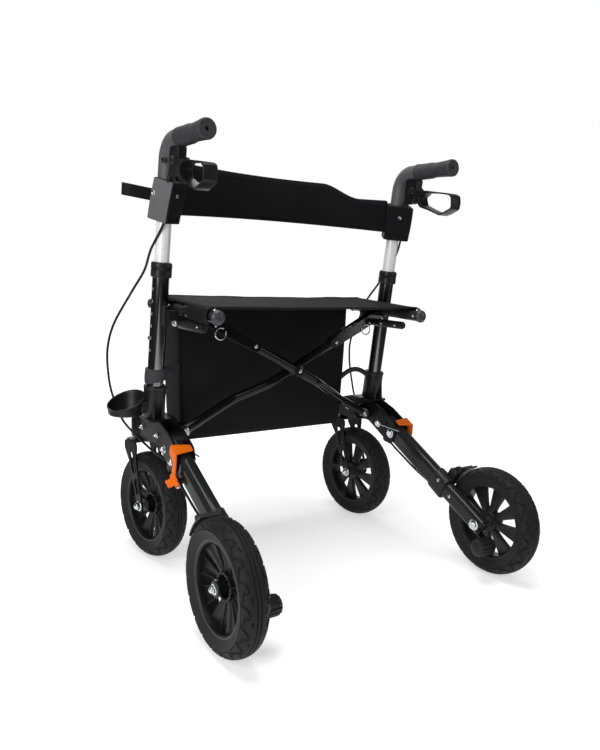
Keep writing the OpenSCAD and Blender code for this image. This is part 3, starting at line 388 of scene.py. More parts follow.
def oblong(centre, length, width, angle, steps=8):
    """The outline of a slot with round ends."""
    points = []
    for end in (0, 1):
        for k in range(steps + 1):
            turn = -math.pi / 2 + math.pi * (k / steps + end)
            middle = (1 - 2 * end) * (length - width) / 2
            points.append((middle + width / 2 * math.cos(turn), width / 2 * math.sin(turn)))
    c, s = math.cos(angle), math.sin(angle)
    return [(centre[0] + c * a - s * b, centre[1] + s * a + c * b) for a, b in points]


def piece(name, shape, material, sharp=38):
    """A mesh object from a shape in millimetres, smooth but for its sharp edges."""
    verts, faces = shape
    mesh = bpy.data.meshes.new(name)
    mesh.from_pydata((np.asarray(verts, float) * MM).tolist(), [], faces)
    mesh.validate()
    mesh.materials.append(material)
    mesh.shade_smooth()
    mesh.set_sharp_from_angle(angle=math.radians(sharp))
    made = bpy.data.objects.new(name, mesh)
    scene.collection.objects.link(made)
    return made


def paint(node, material):
    """A carried-over solid takes its real finish."""
    mesh = frame["nodes"][node].data
    mesh.materials.clear()
    mesh.materials.append(material)


plate_black = finish("plate_black_coat", (0.006, 0.006, 0.0065), 0.3, 700, 0.02, shine=0.12)
gloss_black = finish("gloss_black_coat", (0.005, 0.005, 0.0054), 0.14, 700, 0.015, shine=0.25)
satin_black = finish("satin_black_plastic", (0.009, 0.009, 0.0098), 0.38, 1500, 0.05, shine=0.3)
plate_corners = [
    on_leg(-16, -27.5) + (15,), on_leg(84, -21.5) + (60,), (204, 259, 50), (283.5, 262, 8), (283.5, 299, 14),
    (243.5, 313, 14), (213, DECK_Z, 6), (137, DECK_Z, 12), on_leg(56, 30) + (14,), on_leg(2, 30) + (16,),
    on_leg(-13, 14) + (14,)]
bolt_hole = on_leg(24, 13)
bracket_plate = fillet(plate_corners)
lug_low, lug_high = LOW_PIVOT.y + 11.1, LOW_PIVOT.y + 17.1
lug_corners = [(226, 276, 12), (262, 270, 2), (262, 312, 2), (226, 306, 12)]
deck_corners = [(256.5, 137, 3), (315, 137, 9), (315, 213, 9), (256.5, 213, 3)]
web_corners = [(165, 281, 4), (258, 281, 4), (258, 300, 4), (165, 300, 4)]
housing_profile = [(260, 19), (260, 22.5), (262, 24), (297, 24), (301, 22), (303, 18), (304.5, 9),
                   (304.8, 0.2)]
channel = [on_leg(22, -23.6), on_leg(22, -27.4), on_leg(84, -27.4), on_leg(84, -23.6)]
stop_block = [on_leg(16.2, -44) + (3,), on_leg(30, -44) + (3,), on_leg(30, -24) + (1,),
              on_leg(16.2, -24) + (1,)]
between_plates = (PLATE_INNER[1] - 1, PLATE_OUTER[0] + 1)
bracket = joined(
    plate(bracket_plate, [oblong(bolt_hole, 9, 7, 0)], *PLATE_INNER),
    plate(bracket_plate, [], *PLATE_OUTER),
    plate(fillet(deck_corners), [], DECK_Z - 5, DECK_Z, plane="XY"),
    plate(fillet([(a, b, 0.5) for a, b in channel]), [], *between_plates, bevel=0.3),
    plate(fillet(stop_block), [], 277, 295),
    plate(fillet(lug_corners), [], lug_low, lug_high, plane="XZ"),
    plate(fillet(web_corners), [], *between_plates, bevel=0.5),
    moved(lathe(housing_profile, axis="Z"), to=(SWIVEL.x, SWIVEL.y, 0)))
for name, side in SIDES:
    frame_bracket = piece(f"{name}_bracket_plates", mirrored(bracket, side), plate_black)
    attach(frame_bracket, f"{name}_frame")
    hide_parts(f"{name}_frame_bracket")


# Uprights, foot sockets and collars: a coated steel tube with height holes, in a moulded plastic foot.
# A plastic collar at the tube's top guides the bright handle tube; zinc bolts go through the bracket.
OUTWARD, INWARD = (1, 0, 0), (-1, 0, 0)
FORWARD, BACKWARD = (0, 1, 0), (0, -1, 0)
zinc = finish("zinc_plate", (0.62, 0.63, 0.65), 0.24, 900, 0.03, mottle=0.12, metallic=1.0, edge_scuff_and_highlight=0.08)
graphite = finish("graphite_plastic", (0.105, 0.103, 0.112), 0.4, 1300, 0.04, mottle=0.12)
upright_coat = finish("upright_coat", (0.13, 0.13, 0.135), 0.13, 600, 0.006, mottle=0.06, metallic=1.0)


def turned_to(axis):
    """The turn that lays a piece made along +X along another axis."""
    return Vector((1, 0, 0)).rotation_difference(Vector(axis)).to_matrix()


def hexagon(width, low, high):
    """A hexagonal head along X, its corners chamfered."""
    angles = [math.pi / 6 + k * math.pi / 3 for k in range(6)]
    rings = []
    for x, share in ((low, 0.9), (low + 0.7, 1), (high - 0.9, 1), (high, 0.86)):
        corner = share * width / math.sqrt(3)
        rings.append([(x, corner * math.cos(a), corner * math.sin(a)) for a in angles])
    return loft(rings)


def dome_nut(at, axis, width=13, height=11):
    """A washer, a hexagon and the dome on it, standing on a surface."""
    dome_r = width * 0.46
    quarter = np.linspace(0, math.pi / 2, 9)
    dome = [(height - 6 + 6 * math.sin(t), max(dome_r * math.cos(t), 0.1)) for t in quarter]
    washer = lathe([(0, width * 0.72), (1.0, width * 0.72), (1.4, width * 0.66)])
    shape = joined(washer, hexagon(width, 1.2, height - 4.5), lathe([(1.5, dome_r), *dome]))
    return moved(shape, turned_to(axis), at)


def hex_bolt(at, axis, width=13, height=6):
    """A washer and a hexagon head with its turned top."""
    washer = lathe([(0, width * 0.74), (1.1, width * 0.74), (1.4, width * 0.7)])
    top = lathe([(height - 0.4, width * 0.36), (height + 0.5, width * 0.33), (height + 0.6, 0.1)], 24)
    return moved(joined(washer, hexagon(width, 1.2, height), top), turned_to(axis), at)


def button_screw(at, axis, width=9):
    """A low round screw head with a socket in it."""
    shape = lathe([(-0.5, width * 0.5), (1.2, width * 0.5), (2.4, width * 0.42), (3.0, width * 0.24),
                   (1.4, width * 0.22), (1.2, 0.1)], 24)
    return moved(shape, turned_to(axis), at)


def along_upright(sections):
    """A moulding round the upright: each section is a height and the half-width of a rounded square."""
    rings = []
    for height, half in sections:
        corners = ((half, -half), (half, half), (-half, half), (-half, -half))
        outline = fillet([(a, b, half - 0.4) for a, b in corners], 8)
        rings.append([on_upright(height, a, b) for a, b in outline])
    return loft(rings)


socket_foot = [(0.2, 21.6), (1.2, 22.3), (60, 21.5), (61, 22.4), (66.4, 22.4), (68, 21), (68.4, 17.4)]


def gusset(across):
    """A thin rib behind the foot socket, from its middle down to the deck."""
    outline = fillet([(1, 0, 1), (46, 0, 1), (44, 2, 1), (1, 12, 1)])
    rings = []
    for half in (-1.4, 1.4):
        rings.append([on_upright(height, across + half, -19 - out) for height, out in outline])
    return loft(rings)


foot_socket = joined(along_upright(socket_foot), gusset(10), gusset(-10))
collar_rings = [(292, 19), (293, 20), (305, 20), (306, 19.4), (307, 19.4), (308, 20), (318, 20), (321, 18.6),
                (322, 16.2)]
fold_bolt = (LEG_PIVOT.y, LEG_PIVOT.z)
latch_bolt = on_leg(48, -8)
web_bolt = (224, 288)
rear_web_bolt = (140, 288)
front_screw = (263.6, 277)
bolts = joined(
    dome_nut((PLATE_OUTER[1], *fold_bolt), OUTWARD, 15, 12),
    hex_bolt((PLATE_INNER[0], *fold_bolt), INWARD, 15),
    dome_nut((PLATE_OUTER[1], *latch_bolt), OUTWARD, 12, 10),
    hex_bolt((PLATE_INNER[0], *latch_bolt), INWARD, 12),
    hex_bolt((PLATE_INNER[0], *web_bolt), INWARD, 9),
    dome_nut((PLATE_OUTER[1], *web_bolt), OUTWARD, 9, 8),
    dome_nut((PLATE_OUTER[1], *rear_web_bolt), OUTWARD, 9, 8),
    button_screw((PLATE_OUTER[1], *front_screw), OUTWARD, 7),
    moved(lathe([(-11.4, 4.9), (17.5, 4.9)], 24), turned_to(FORWARD), LOW_PIVOT),
    dome_nut((LOW_PIVOT.x, lug_high, LOW_PIVOT.z), FORWARD, 12, 10),
    hex_bolt((LOW_PIVOT.x, LOW_PIVOT.y - 11.2, LOW_PIVOT.z), BACKWARD, 13))
for name, side in SIDES:
    body = f"{name}_frame"
    for part, shape, material, node, slot in (
            ("foot", foot_socket, satin_black, "foot_socket", "plastic_black"),
            ("top_collar", along_upright(collar_rings), satin_black, "collar", "plastic_black"),
            ("bracket_bolts", bolts, zinc, "frame_bolts", "zinc")):
        made = piece(f"{name}_{part}", mirrored(shape, side), material)
        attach(made, body)
        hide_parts(f"{name}_{node}")
    paint(f"{name}_upright", upright_coat)


# Casters: a stamped steel fork with slotted arms on a swivel stem, coated black.
# Its axle is a zinc bolt with a dome nut at each end.
AXLE_Z = 115
TRAIL = 46
CROWN_Z = 249
ARM_X = 28.5
ARM_T = 4
caster_turn = {"left": 8, "right": 6}


def turn_about_z(degrees):
    """A turn to the left, seen from above."""
    return Matrix.Rotation(math.radians(degrees), 3, "Z")


def wheel_centre(name, side):
    """Where the front wheel's middle stands, behind its swivel."""
    away = turn_about_z(caster_turn[name]) @ Vector((0, -TRAIL, 0))
    return Vector((side * SWIVEL.x + away.x, SWIVEL.y + away.y, AXLE_Z))


arm_angle = math.atan2(CROWN_Z + 3 - AXLE_Z, TRAIL)
arm_c, arm_s = math.cos(arm_angle), math.sin(arm_angle)


def on_arm(along, across):
    """A place on a fork's arm in the wheel's own Y and Z, by the length from the axle."""
    return along * arm_c - across * arm_s, along * arm_s + across * arm_c


def sweep(path, radius, count=12, closed=False):
    """A round bar along a path; radius is one value, or one for each point."""
    path = [Vector(p) for p in path]
    size = len(path)
    radii = [radius] * size if isinstance(radius, (int, float)) else radius
    turns = np.linspace(0, 2 * math.pi, count, endpoint=False)
    rings, across = [], None
    for i, p in enumerate(path):
        before = path[i - 1] if i or closed else p
        after = path[(i + 1) % size] if i < size - 1 or closed else p
        along = (after - before).normalized()
        if across is None:
            across = along.orthogonal().normalized()
        across = (across - along * across.dot(along)).normalized()
        other = along.cross(across)
        rings.append([p + across * (radii[i] * math.cos(t)) + other * (radii[i] * math.sin(t))
                      for t in turns])
    rows = np.vstack([np.array(r, float) for r in rings])
    if closed:
        faces = ring_faces(size, count, caps=False)
        last = (size - 1) * count
        offset = min(range(count), key=lambda k: (Vector(rings[-1][0]) - Vector(rings[0][k])).length)
        for k in range(count):
            m = (k + 1) % count
            faces.append((last + k, last + m, (m + offset) % count, (k + offset) % count))
        return facing_out((rows, faces))
    return facing_out((rows, ring_faces(size, count)))


arm_outline = [on_arm(a, b) + (r,) for a, b, r in (
    (-13.2, -11, 12), (30, -12, 40), (100, -15.5, 30), (132, -26, 8), (150, -21, 7), (139, 22, 7),
    (129, 27, 8), (102, 16, 30), (30, 12, 40), (-13.2, 11, 12))]
arm_slots = [oblong(on_arm(96, 0), 50, 14.5, arm_angle), oblong(on_arm(42, 0), 36, 10.5, arm_angle)]
fork_arm = plate(fillet(arm_outline), arm_slots, ARM_X, ARM_X + ARM_T, bevel=1.2)


def fork_rim(slot):
    """The turned edge of a slot in the arm, standing out as a thin bead."""
    path = [Vector((ARM_X + ARM_T - 0.3, a, b)) for a, b in slot]
    return sweep(path, 1.5, closed=True)


crown_outline = fillet([(-32.5, 24, 12), (-32.5, 66, 14), (32.5, 66, 14), (32.5, 24, 12)])
fork = joined(
    fork_arm, mirrored(fork_arm, -1), *[fork_rim(slot) for slot in arm_slots],
    *[mirrored(fork_rim(slot), -1) for slot in arm_slots],
    plate(crown_outline, [], CROWN_Z - AXLE_Z, CROWN_Z - AXLE_Z + 6, bevel=2, plane="XY"),
    moved(lathe([(0, 15.5), (10.6, 15.5), (11, 10), (48, 10)], axis="Z"), to=(0, TRAIL, CROWN_Z - AXLE_Z)))
axle_ends = [dome_nut((side * (ARM_X + ARM_T), 0, 0), (side, 0, 0), 15, 12) for side in (-1, 1)]
front_axle = joined(lathe([(-ARM_X - ARM_T - 2, 5), (ARM_X + ARM_T + 2, 5)], 24), *axle_ends,
                    *[lathe([(x, 8), (x + 3, 8)], 24) for x in (0.1 - ARM_X, ARM_X - 3.1)])
for name, side in SIDES:
    turn, centre = turn_about_z(caster_turn[name]), wheel_centre(name, side)
    made = piece(f"{name}_fork", moved(fork, turn, centre), plate_black)
    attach(made, f"{name}_caster")
    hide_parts(f"{name}_caster_fork")
    made = piece(f"{name}_front_axle_bolt", moved(front_axle, turn, centre), zinc)
    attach(made, f"{name}_caster")
    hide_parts(f"{name}_front_axle")


# Wheels: moulded black rims with eight scooped spokes, and soft air-filled rubber tyres on them.
# The tyre's tread has leaf-shaped shoulder blocks, short slits between them and two lines round its crown.
TYRE_R = 115
TYRE_HALF = 25.5
WHEEL_X = 324
REAR_AXLE_Y = -217.5
RIM_R = 80
RIM_HALF = 19
HUB_R = 19
SPOKES = 8
SPOKE_START = 0.2
BARREL_END = 20.4
TREADS = 18
GROOVE = 2.8
GROOVE_HALF = 1.8
LEAF = ((0, 31), (2, 25), (8, 18.5), (15, 14.8), (20, 15.2), (21.5, 18.5), (19, 21.5), (22, 24), (27, 25.5),
        (33, 28), (38.4, 31))
SLIT = ((28, 13.2), (34.5, 10.4))
CROWN_LINE = 3.4
WALL_LINE = 33.5

rim_black = finish("rim_black_plastic", (0.007, 0.007, 0.0077), 0.42, 1100, 0.04, mottle=0.12)
tyre_black = finish("tyre_rubber", (0.016, 0.0156, 0.0167), 0.58, 900, 0.1, shine=0.16, edge_scuff_and_highlight=0.015)


def nearest_on(points, s, t, period):
    """How far places on the unrolled tyre are from a line drawn on it, which repeats round the tyre."""
    best = np.full(s.shape, 1e9)
    for shift in (-period, 0, period):
        for (s0, t0), (s1, t1) in zip(points[:-1], points[1:]):
            ds, dt = s1 - s0, t1 - t0
            share = np.clip(((s - s0 - shift) * ds + (t - t0) * dt) / (ds * ds + dt * dt), 0, 1)
            best = np.minimum(best, np.hypot(s - s0 - shift - share * ds, t - t0 - share * dt))
    return best


def cut(distance, half):
    """How deep a groove is at a distance from its line: a flat floor with sloping walls."""
    return np.clip((half + 0.55 - distance) / 0.9, 0, 1)


def tyre():
    """The tyre's skin with its tread cut in, round the X axis."""
    around, across = 684, 84
    belly = (TYRE_R - RIM_R) / 2
    slope = np.linspace(-0.06, math.pi + 0.06, across)
    turns = np.linspace(0, 2 * math.pi, around, endpoint=False)
    angle, spin = np.meshgrid(slope, turns)
    x = TYRE_HALF * np.cos(angle)
    r = RIM_R + belly + belly * np.sin(angle) * np.clip(1.04 - 0.04 * np.abs(np.cos(angle)), 0, 1)
    arc = np.cumsum(np.hypot(np.diff(x[0], prepend=x[0][0]), np.diff(r[0], prepend=r[0][0])))
    t = np.abs(arc - arc[-1] / 2)[None, :] + np.zeros_like(x)
    period = 2 * math.pi * TYRE_R / TREADS
    s = (spin * TYRE_R + np.where(x > 0, period / 2, 0)) % period
    scale = period / LEAF[-1][0]
    leaf = [(a * scale, b) for a, b in LEAF]
    slit = [(a * scale, b) for a, b in SLIT]
    depth = cut(nearest_on(leaf, s, t, period), GROOVE_HALF)
    depth = np.maximum(depth, 0.8 * cut(nearest_on(slit, s, t, period), 0.8))
    depth = np.maximum(depth, 0.9 * cut(np.abs(t - CROWN_LINE), 0.9))
    depth = np.maximum(depth, 0.5 * cut(np.abs(t - WALL_LINE), 0.5))
    r = r - GROOVE * depth * np.sin(np.clip(angle, 0, math.pi))
    x = x * (1 - GROOVE * depth * np.abs(np.cos(angle)) / TYRE_HALF)
    rows = np.stack([x, r * np.cos(spin), r * np.sin(spin)], 2)
    bead = ((-RIM_HALF, RIM_R + 0.2), (-RIM_HALF + 3, RIM_R - 1.5), (RIM_HALF - 3, RIM_R - 1.5),
            (RIM_HALF, RIM_R + 0.2))
    bead_rows = np.stack([round_row(bead_x, bead_r, turns) for bead_x, bead_r in bead], 1)
    grid = np.concatenate([rows, bead_rows], 1)
    count = grid.shape[1]
    faces = []
    for i in range(around):
        n = (i + 1) % around
        for k in range(count):
            m = (k + 1) % count
            faces.append((i * count + k, i * count + m, n * count + m, n * count + k))
    return facing_out((grid.reshape(-1, 3), faces))


def trough(turn):
    """A scooped spoke like a petal, broad at the rim and sunk towards the hub, with a thin raised edge."""
    c, s = math.cos(turn), math.sin(turn)
    rings = []
    for share in np.linspace(0, 1, 21):
        r = HUB_R + share * (RIM_R - 4.5 - HUB_R)
        half = 7.6 + 11.6 * share ** 1.3 + 4.0 * math.exp(-((1 - share) / 0.08) ** 2)
        dish = -2.0 + 11.5 * share ** 1.4
        scoop = 2.6 + 2.6 * share
        section = [(-half, dish - 3.4), (-half, dish), (-half + 0.7, dish + 1.5), (-half + 1.7, dish + 1.3)]
        section += [((half - 2.6) * v, dish - scoop + scoop * abs(v) ** 2.2) for v in np.linspace(-1, 1, 11)]
        section += [(half - 1.7, dish + 1.3), (half - 0.7, dish + 1.5), (half, dish), (half, dish - 3.4)]
        section += [(half - 2, dish - 9), (0, dish - 11), (-half + 2, dish - 9)]
        rings.append([(x, r * c - w * s, r * s + w * c) for w, x in section])
    return loft(rings)


def scalloped_hub():
    """The hub: a ring of scallops round a deep recess, and a barrel standing out of it to the axle's nut."""
    turns = np.linspace(0, 2 * math.pi, 128, endpoint=False)
    wave = 1.5 * np.cos(SPOKES * 2 * turns)
    steps = ((-16, 21, 0), (-14, 22.5, 0), (0, 24.5, 0.3), (3, 24.6, 0.6), (4.2, 23.6, 1), (4.0, 21.6, 1),
             (-2, 19.6, 1), (-8, 18.6, 0.6), (-8.5, 12, 0), (-6, 10, 0), (15.7, 9.4, 0), (16.3, 13, 0),
             (17.1, 14, 0), (19.5, 14, 0), (BARREL_END, 13, 0), (BARREL_END, 5.2, 0))
    return loft([round_row(x, r + wave * share, turns) for x, r, share in steps])


def rim(outward):
    """A whole rim with its outer face to +X or -X."""
    barrel = ((-RIM_HALF, 80.6), (-RIM_HALF + 0.4, 82.6), (-RIM_HALF + 2, 83.2), (-RIM_HALF + 4, 80),
              (RIM_HALF - 4, 80), (RIM_HALF - 2, 83.2), (RIM_HALF - 0.4, 82.6), (RIM_HALF, 80.6),
              (RIM_HALF - 0.6, 77), (RIM_HALF - 2.8, 74.8), (RIM_HALF - 6, 74), (RIM_HALF - 12, 73.4),
              (0, 73.6), (-RIM_HALF + 5, 74.2), (-RIM_HALF + 1, 77))
    turns = np.linspace(0, 2 * math.pi, 144, endpoint=False)
    well = hollow([round_row(x, r, turns) for x, r in barrel])
    spokes = [trough(k * 2 * math.pi / SPOKES + SPOKE_START) for k in range(SPOKES)]
    shape = joined(well, scalloped_hub(), *spokes, lathe([(-19, 11), (-15, 13), (-15, 6), (-19, 6)]))
    return shape if outward > 0 else mirrored(shape, -1)


tyre_shape = tyre()
rims = {1: rim(1), -1: rim(-1)}
for name, side in SIDES:
    for end in ("front", "rear"):
        rear = Vector((side * WHEEL_X, REAR_AXLE_Y, AXLE_Z))
        centre = wheel_centre(name, side) if end == "front" else rear
        turn = turn_about_z(caster_turn[name]) if end == "front" else turn_about_z(0)
        for part, shape, material, slot in (("tyre", mirrored(tyre_shape, side), tyre_black, "tyre_rubber"),
                                            ("rim", rims[side], rim_black, "rim_plastic")):
            made = piece(f"{name}_{end}_wheel_{part}", moved(shape, turn, centre), material, sharp=30)
            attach(made, f"{name}_{end}_wheel")
            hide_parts(f"{name}_{end}_{part}")


# Rear legs: oval steel tubes coated gloss black, each with a narrower tube below, an axle and a kerb pedal.
# A moulded guard covers the tubes' joint, and its wing carries the brake shoe in front of the tyre.
LEG_X = 280
SHOE_INNER, SHOE_OUTER = 118.5, 122.5
SHOE_SPAN = (math.radians(26), math.radians(57))
SHOE_FROM, SHOE_TO = 303.6, 340.6
KNOB_AT = (0, -352, -17)
pedal_rubber = finish("pedal_rubber", (0.009, 0.009, 0.0097), 0.5, 1200, 0.08, shine=0.25, edge_scuff_and_highlight=0.02)


def set_on_leg(shape):
    """A shape drawn in the leg's own frame, X, along and out, set in its place."""
    verts = np.asarray(shape[0], float)
    c, s = math.cos(LEG_SLOPE), math.sin(LEG_SLOPE)
    y = LEG_PIVOT.y + verts[:, 1] * c - verts[:, 2] * s
    z = LEG_PIVOT.z + verts[:, 1] * s + verts[:, 2] * c
    return facing_out((np.stack([verts[:, 0], y, z], 1), shape[1]))


def leg_tube(sections):
    """A tube along the leg: each section is a place along it, two half-widths and a corner radius."""
    rings = []
    for along, half_x, half_z, corner in sections:
        outline = fillet([(half_x, -half_z, corner), (half_x, half_z, corner), (-half_x, half_z, corner),
                          (-half_x, -half_z, corner)], 10)
        rings.append([(LEG_X + a, along, b) for a, b in outline])
    return set_on_leg(loft(rings))


def open_path(corners, steps=6):
    """A path of straight runs whose inner corners, given with a radius, are rounded."""
    inner = fillet(corners, steps)
    return [corners[0][:2], *inner[steps + 1:-steps - 1], corners[-1][:2]]


def ribbon(path, thick):
    """The outline of a bent strip, from the path of its middle."""
    path = [Vector(p) for p in path]
    sides = []
    for i, p in enumerate(path):
        along = (path[min(i + 1, len(path) - 1)] - path[max(i - 1, 0)]).normalized()
        sides.append((p + along.orthogonal() * thick / 2, p - along.orthogonal() * thick / 2))
    return [tuple(a) for a, b in sides] + [tuple(b) for a, b in reversed(sides)]


latch_block = [(286, -22, 2), (306, -22, 4.8), (306, -13, 4.8), (286, -13, 2)]
leg = joined(
    leg_tube([(38, 13.5, 21, 13), (37, 15, 23, 14.6), (-190, 15, 23, 14.6), (-192, 13.5, 21, 13)]),
    leg_tube([(-164, 13.5, 19, 12.8), (-319, 13.5, 19, 12.8), (-321, 12, 17.5, 11.5)]),
    set_on_leg(plate(fillet(latch_block), [], -42, -33, plane="XZ")))
guard_shell = leg_tube([(-157, 16.5, 24.6, 15.5), (-158, 17.8, 26, 16.5), (-196, 18.6, 27, 17),
                        (-199, 18, 26.4, 16.5), (-200.6, 14.5, 20.5, 13)])
shoe_pin = pivot("right_shoe_swing")
at_pin = (0, shoe_pin.y, shoe_pin.z)
wing_corners = [(shoe_pin.y - 9, shoe_pin.z - 2, 8), (shoe_pin.y + 6, shoe_pin.z - 26, 4),
                (shoe_pin.y + 28, shoe_pin.z - 26, 6), (shoe_pin.y + 10, shoe_pin.z + 8, 9)]
guard = joined(guard_shell, plate(fillet(wing_corners), [], LEG_X + 4, 303, bevel=1.5),
               moved(lathe([(295, 8), (296, 9), (302, 9), (303, 8)], 32), to=at_pin),
               moved(lathe([(302, 3), (341.5, 3)], 16), to=at_pin))
shoe_turns = np.linspace(*SHOE_SPAN, 24)
shoe_fin = []
for radius, turns in ((SHOE_INNER, shoe_turns), (SHOE_OUTER, shoe_turns[::-1])):
    shoe_fin += [(REAR_AXLE_Y + radius * math.cos(a), AXLE_Z + radius * math.sin(a)) for a in turns]
shoe_tube = [(SHOE_FROM, 5), (SHOE_FROM + 0.8, 6), (SHOE_TO - 0.8, 6), (SHOE_TO, 5)]
shoe = joined(plate(shoe_fin, [], SHOE_FROM, SHOE_TO, bevel=1.2), moved(lathe(shoe_tube, 32), to=at_pin))


def ribbed_knob():
    """A domed knob with soft ribs along it."""
    turns = np.linspace(0, 2 * math.pi, 112, endpoint=False)
    ribs = 1.1 * np.cos(14 * turns)
    steps = ((238, 4, 0), (238.5, 9.7, 0.2), (240.5, 14, 0.6), (244, 16.8, 1), (250, 17.9, 1), (275, 17.9, 1),
             (281, 17, 1), (285, 14.5, 0.4), (286, 10, 0))
    return loft([round_row(x, r + ribs * share, turns) for x, r, share in steps])


strip_path = open_path([(-322.2, 15, 0), (-322.2, KNOB_AT[2], 9), (*KNOB_AT[1:], 0)])
pedal_strip = plate(ribbon(strip_path, 4), [], LEG_X - 9, LEG_X + 9, bevel=0.6)
knob = moved(ribbed_knob(), to=KNOB_AT)
knob_end = moved(lathe([(285, 7), (288.5, 6.5), (289.5, 5), (289.7, 0.1)], 24), to=KNOB_AT)
at_axle = (0, REAR_AXLE_Y, AXLE_Z)
rear_axle = joined(
    moved(lathe([(264, 5), (352, 5)], 24), to=at_axle),
    hex_bolt((LEG_X - 13.5, REAR_AXLE_Y, AXLE_Z), INWARD, 16, 7),
    moved(lathe([(293.6, 8), (304.5, 8)], 24), to=at_axle),
    dome_nut((WHEEL_X + BARREL_END, REAR_AXLE_Y, AXLE_Z), OUTWARD, 13, 9.8))
leg_screws = joined(
    *[button_screw((LEG_X + sign * 13.5, *on_leg(-222, 2)), (sign, 0, 0), 8) for sign in (-1, 1)],
    *[button_screw((LEG_X + sign * 19.4, *on_leg(-181, 14)), (sign, 0, 0), 8) for sign in (-1, 1)])
for name, side in SIDES:
    for part, shape, material, body, node, slot in (
            ("leg_tubes", leg, gloss_black, "leg", "rear_leg", "frame_black"),
            ("guard_shell", guard, satin_black, "leg", "brake_guard", "plastic_black"),
            ("shoe_pad", shoe, satin_black, "shoe", "brake_shoe", "plastic_black"),
            ("kerb_knob", set_on_leg(knob), pedal_rubber, "leg", "kerb_pedal", "grip_rubber"),
            ("kerb_strip", set_on_leg(joined(pedal_strip, knob_end)), gloss_black, "leg", None,
             "frame_black"),
            ("rear_axle_bolt", rear_axle, zinc, "leg", "rear_axle", "zinc"),
            ("leg_screws", leg_screws, zinc, "leg", None, "zinc")):
        made = piece(f"{name}_{part}", mirrored(shape, side), material)
        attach(made, f"{name}_{body}")
        if node:
            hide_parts(f"{name}_{node}")


# Latches: a strap of steel folded over the leg, coated orange, that swings off to let the leg fold.
# A zinc wire bail runs from the bracket's bolt to the strap, and a zinc pin is the strap's hinge.
STRAP_X = 306
HINGE_AT = (STRAP_X, 0, -18)
orange = finish("orange_coat", (0.86, 0.16, 0.004), 0.4, 800, 0.04, mottle=0.1, shine=0.15, edge_scuff_and_highlight=0.02)
tab_path = open_path([(STRAP_X, -10, 0), (307, -17, 8), (317, -25, 5), (321, -25, 0)])
outer_leg = fillet([(-46, -18, 3), (-20, -18, 3), (-14, -8, 8), (-13, 8, 8), (12, 13, 6), (14, 32, 2),
                    (-15, 32, 2), (-26, 8, 12), (-30, -6, 10)])
top_plate = fillet([(268, -9, 4), (307.5, -15, 1), (307.5, 14, 1), (268, 8, 4)])
barrels = [lathe([(a, 4.4), (a + 0.6, 5), (b - 0.6, 5), (b, 4.4)], 28, "Y")
           for a, b in ((-52, -42.5), (-32.5, -18))]
latch_strap = joined(plate(outer_leg, [], STRAP_X - 1.5, STRAP_X + 1.5, bevel=0.7),
                     plate(top_plate, [], 30, 33, bevel=0.9, plane="XY"),
                     plate(ribbon(tab_path, 3), [], -44, -24, bevel=0.9, plane="XZ"),
                     *[moved(barrel, to=HINGE_AT) for barrel in barrels])
pin_profile = [(-54, 2.5), (-53.4, 3.4), (-52.4, 3.4), (-52.3, 2.5), (-18, 2.5), (-16.6, 2.4), (-16.2, 1.5)]
latch_pin = moved(lathe(pin_profile, 20, "Y"), to=HINGE_AT)
for name, side in SIDES:
    made = piece(f"{name}_latch_strap", mirrored(set_on_leg(latch_strap), side), orange)
    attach(made, f"{name}_latch")
    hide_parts(f"{name}_latch_lever")
    made = piece(f"{name}_latch_pin", mirrored(set_on_leg(latch_pin), side), zinc)
    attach(made, f"{name}_latch")
    paint(f"{name}_latch_wire", zinc)


# Cross frame: two coated steel tubes that scissor on a zinc bolt, each bent forward to its lower bolt.
# At the top each tube ends in a flat yoke with a knuckle round a seat rail.
# A plastic saddle clamped to each upright takes the rail, and a rest bar lies below it.
CROSS_RISE, CROSS_RUN = 255.7, 495
CROSS_SLOPE = math.atan(CROSS_RISE / CROSS_RUN)
CROSS_R = 10
RIGHT_PLANE, LEFT_PLANE = 80, 103
LOW_ARM, HIGH_ARM = 272.4, 284.8
YOKE_HALF = 11.2
CENTRE_Z = 416.0
RAIL_X, RAIL_Z, RAIL_R = 253, 546.7, 12.5
RAIL_BACK, RAIL_FRONT = -30, 212
SADDLE_BACK, SADDLE_FRONT = 122, 166
REST_Z = 516.7
BEND, BEND_R, BEND_AT = 25, 50, 50
cap_grey = finish("cap_grey_plastic", (0.05, 0.05, 0.054), 0.26, 900, 0.03, mottle=0.1, shine=0.4)


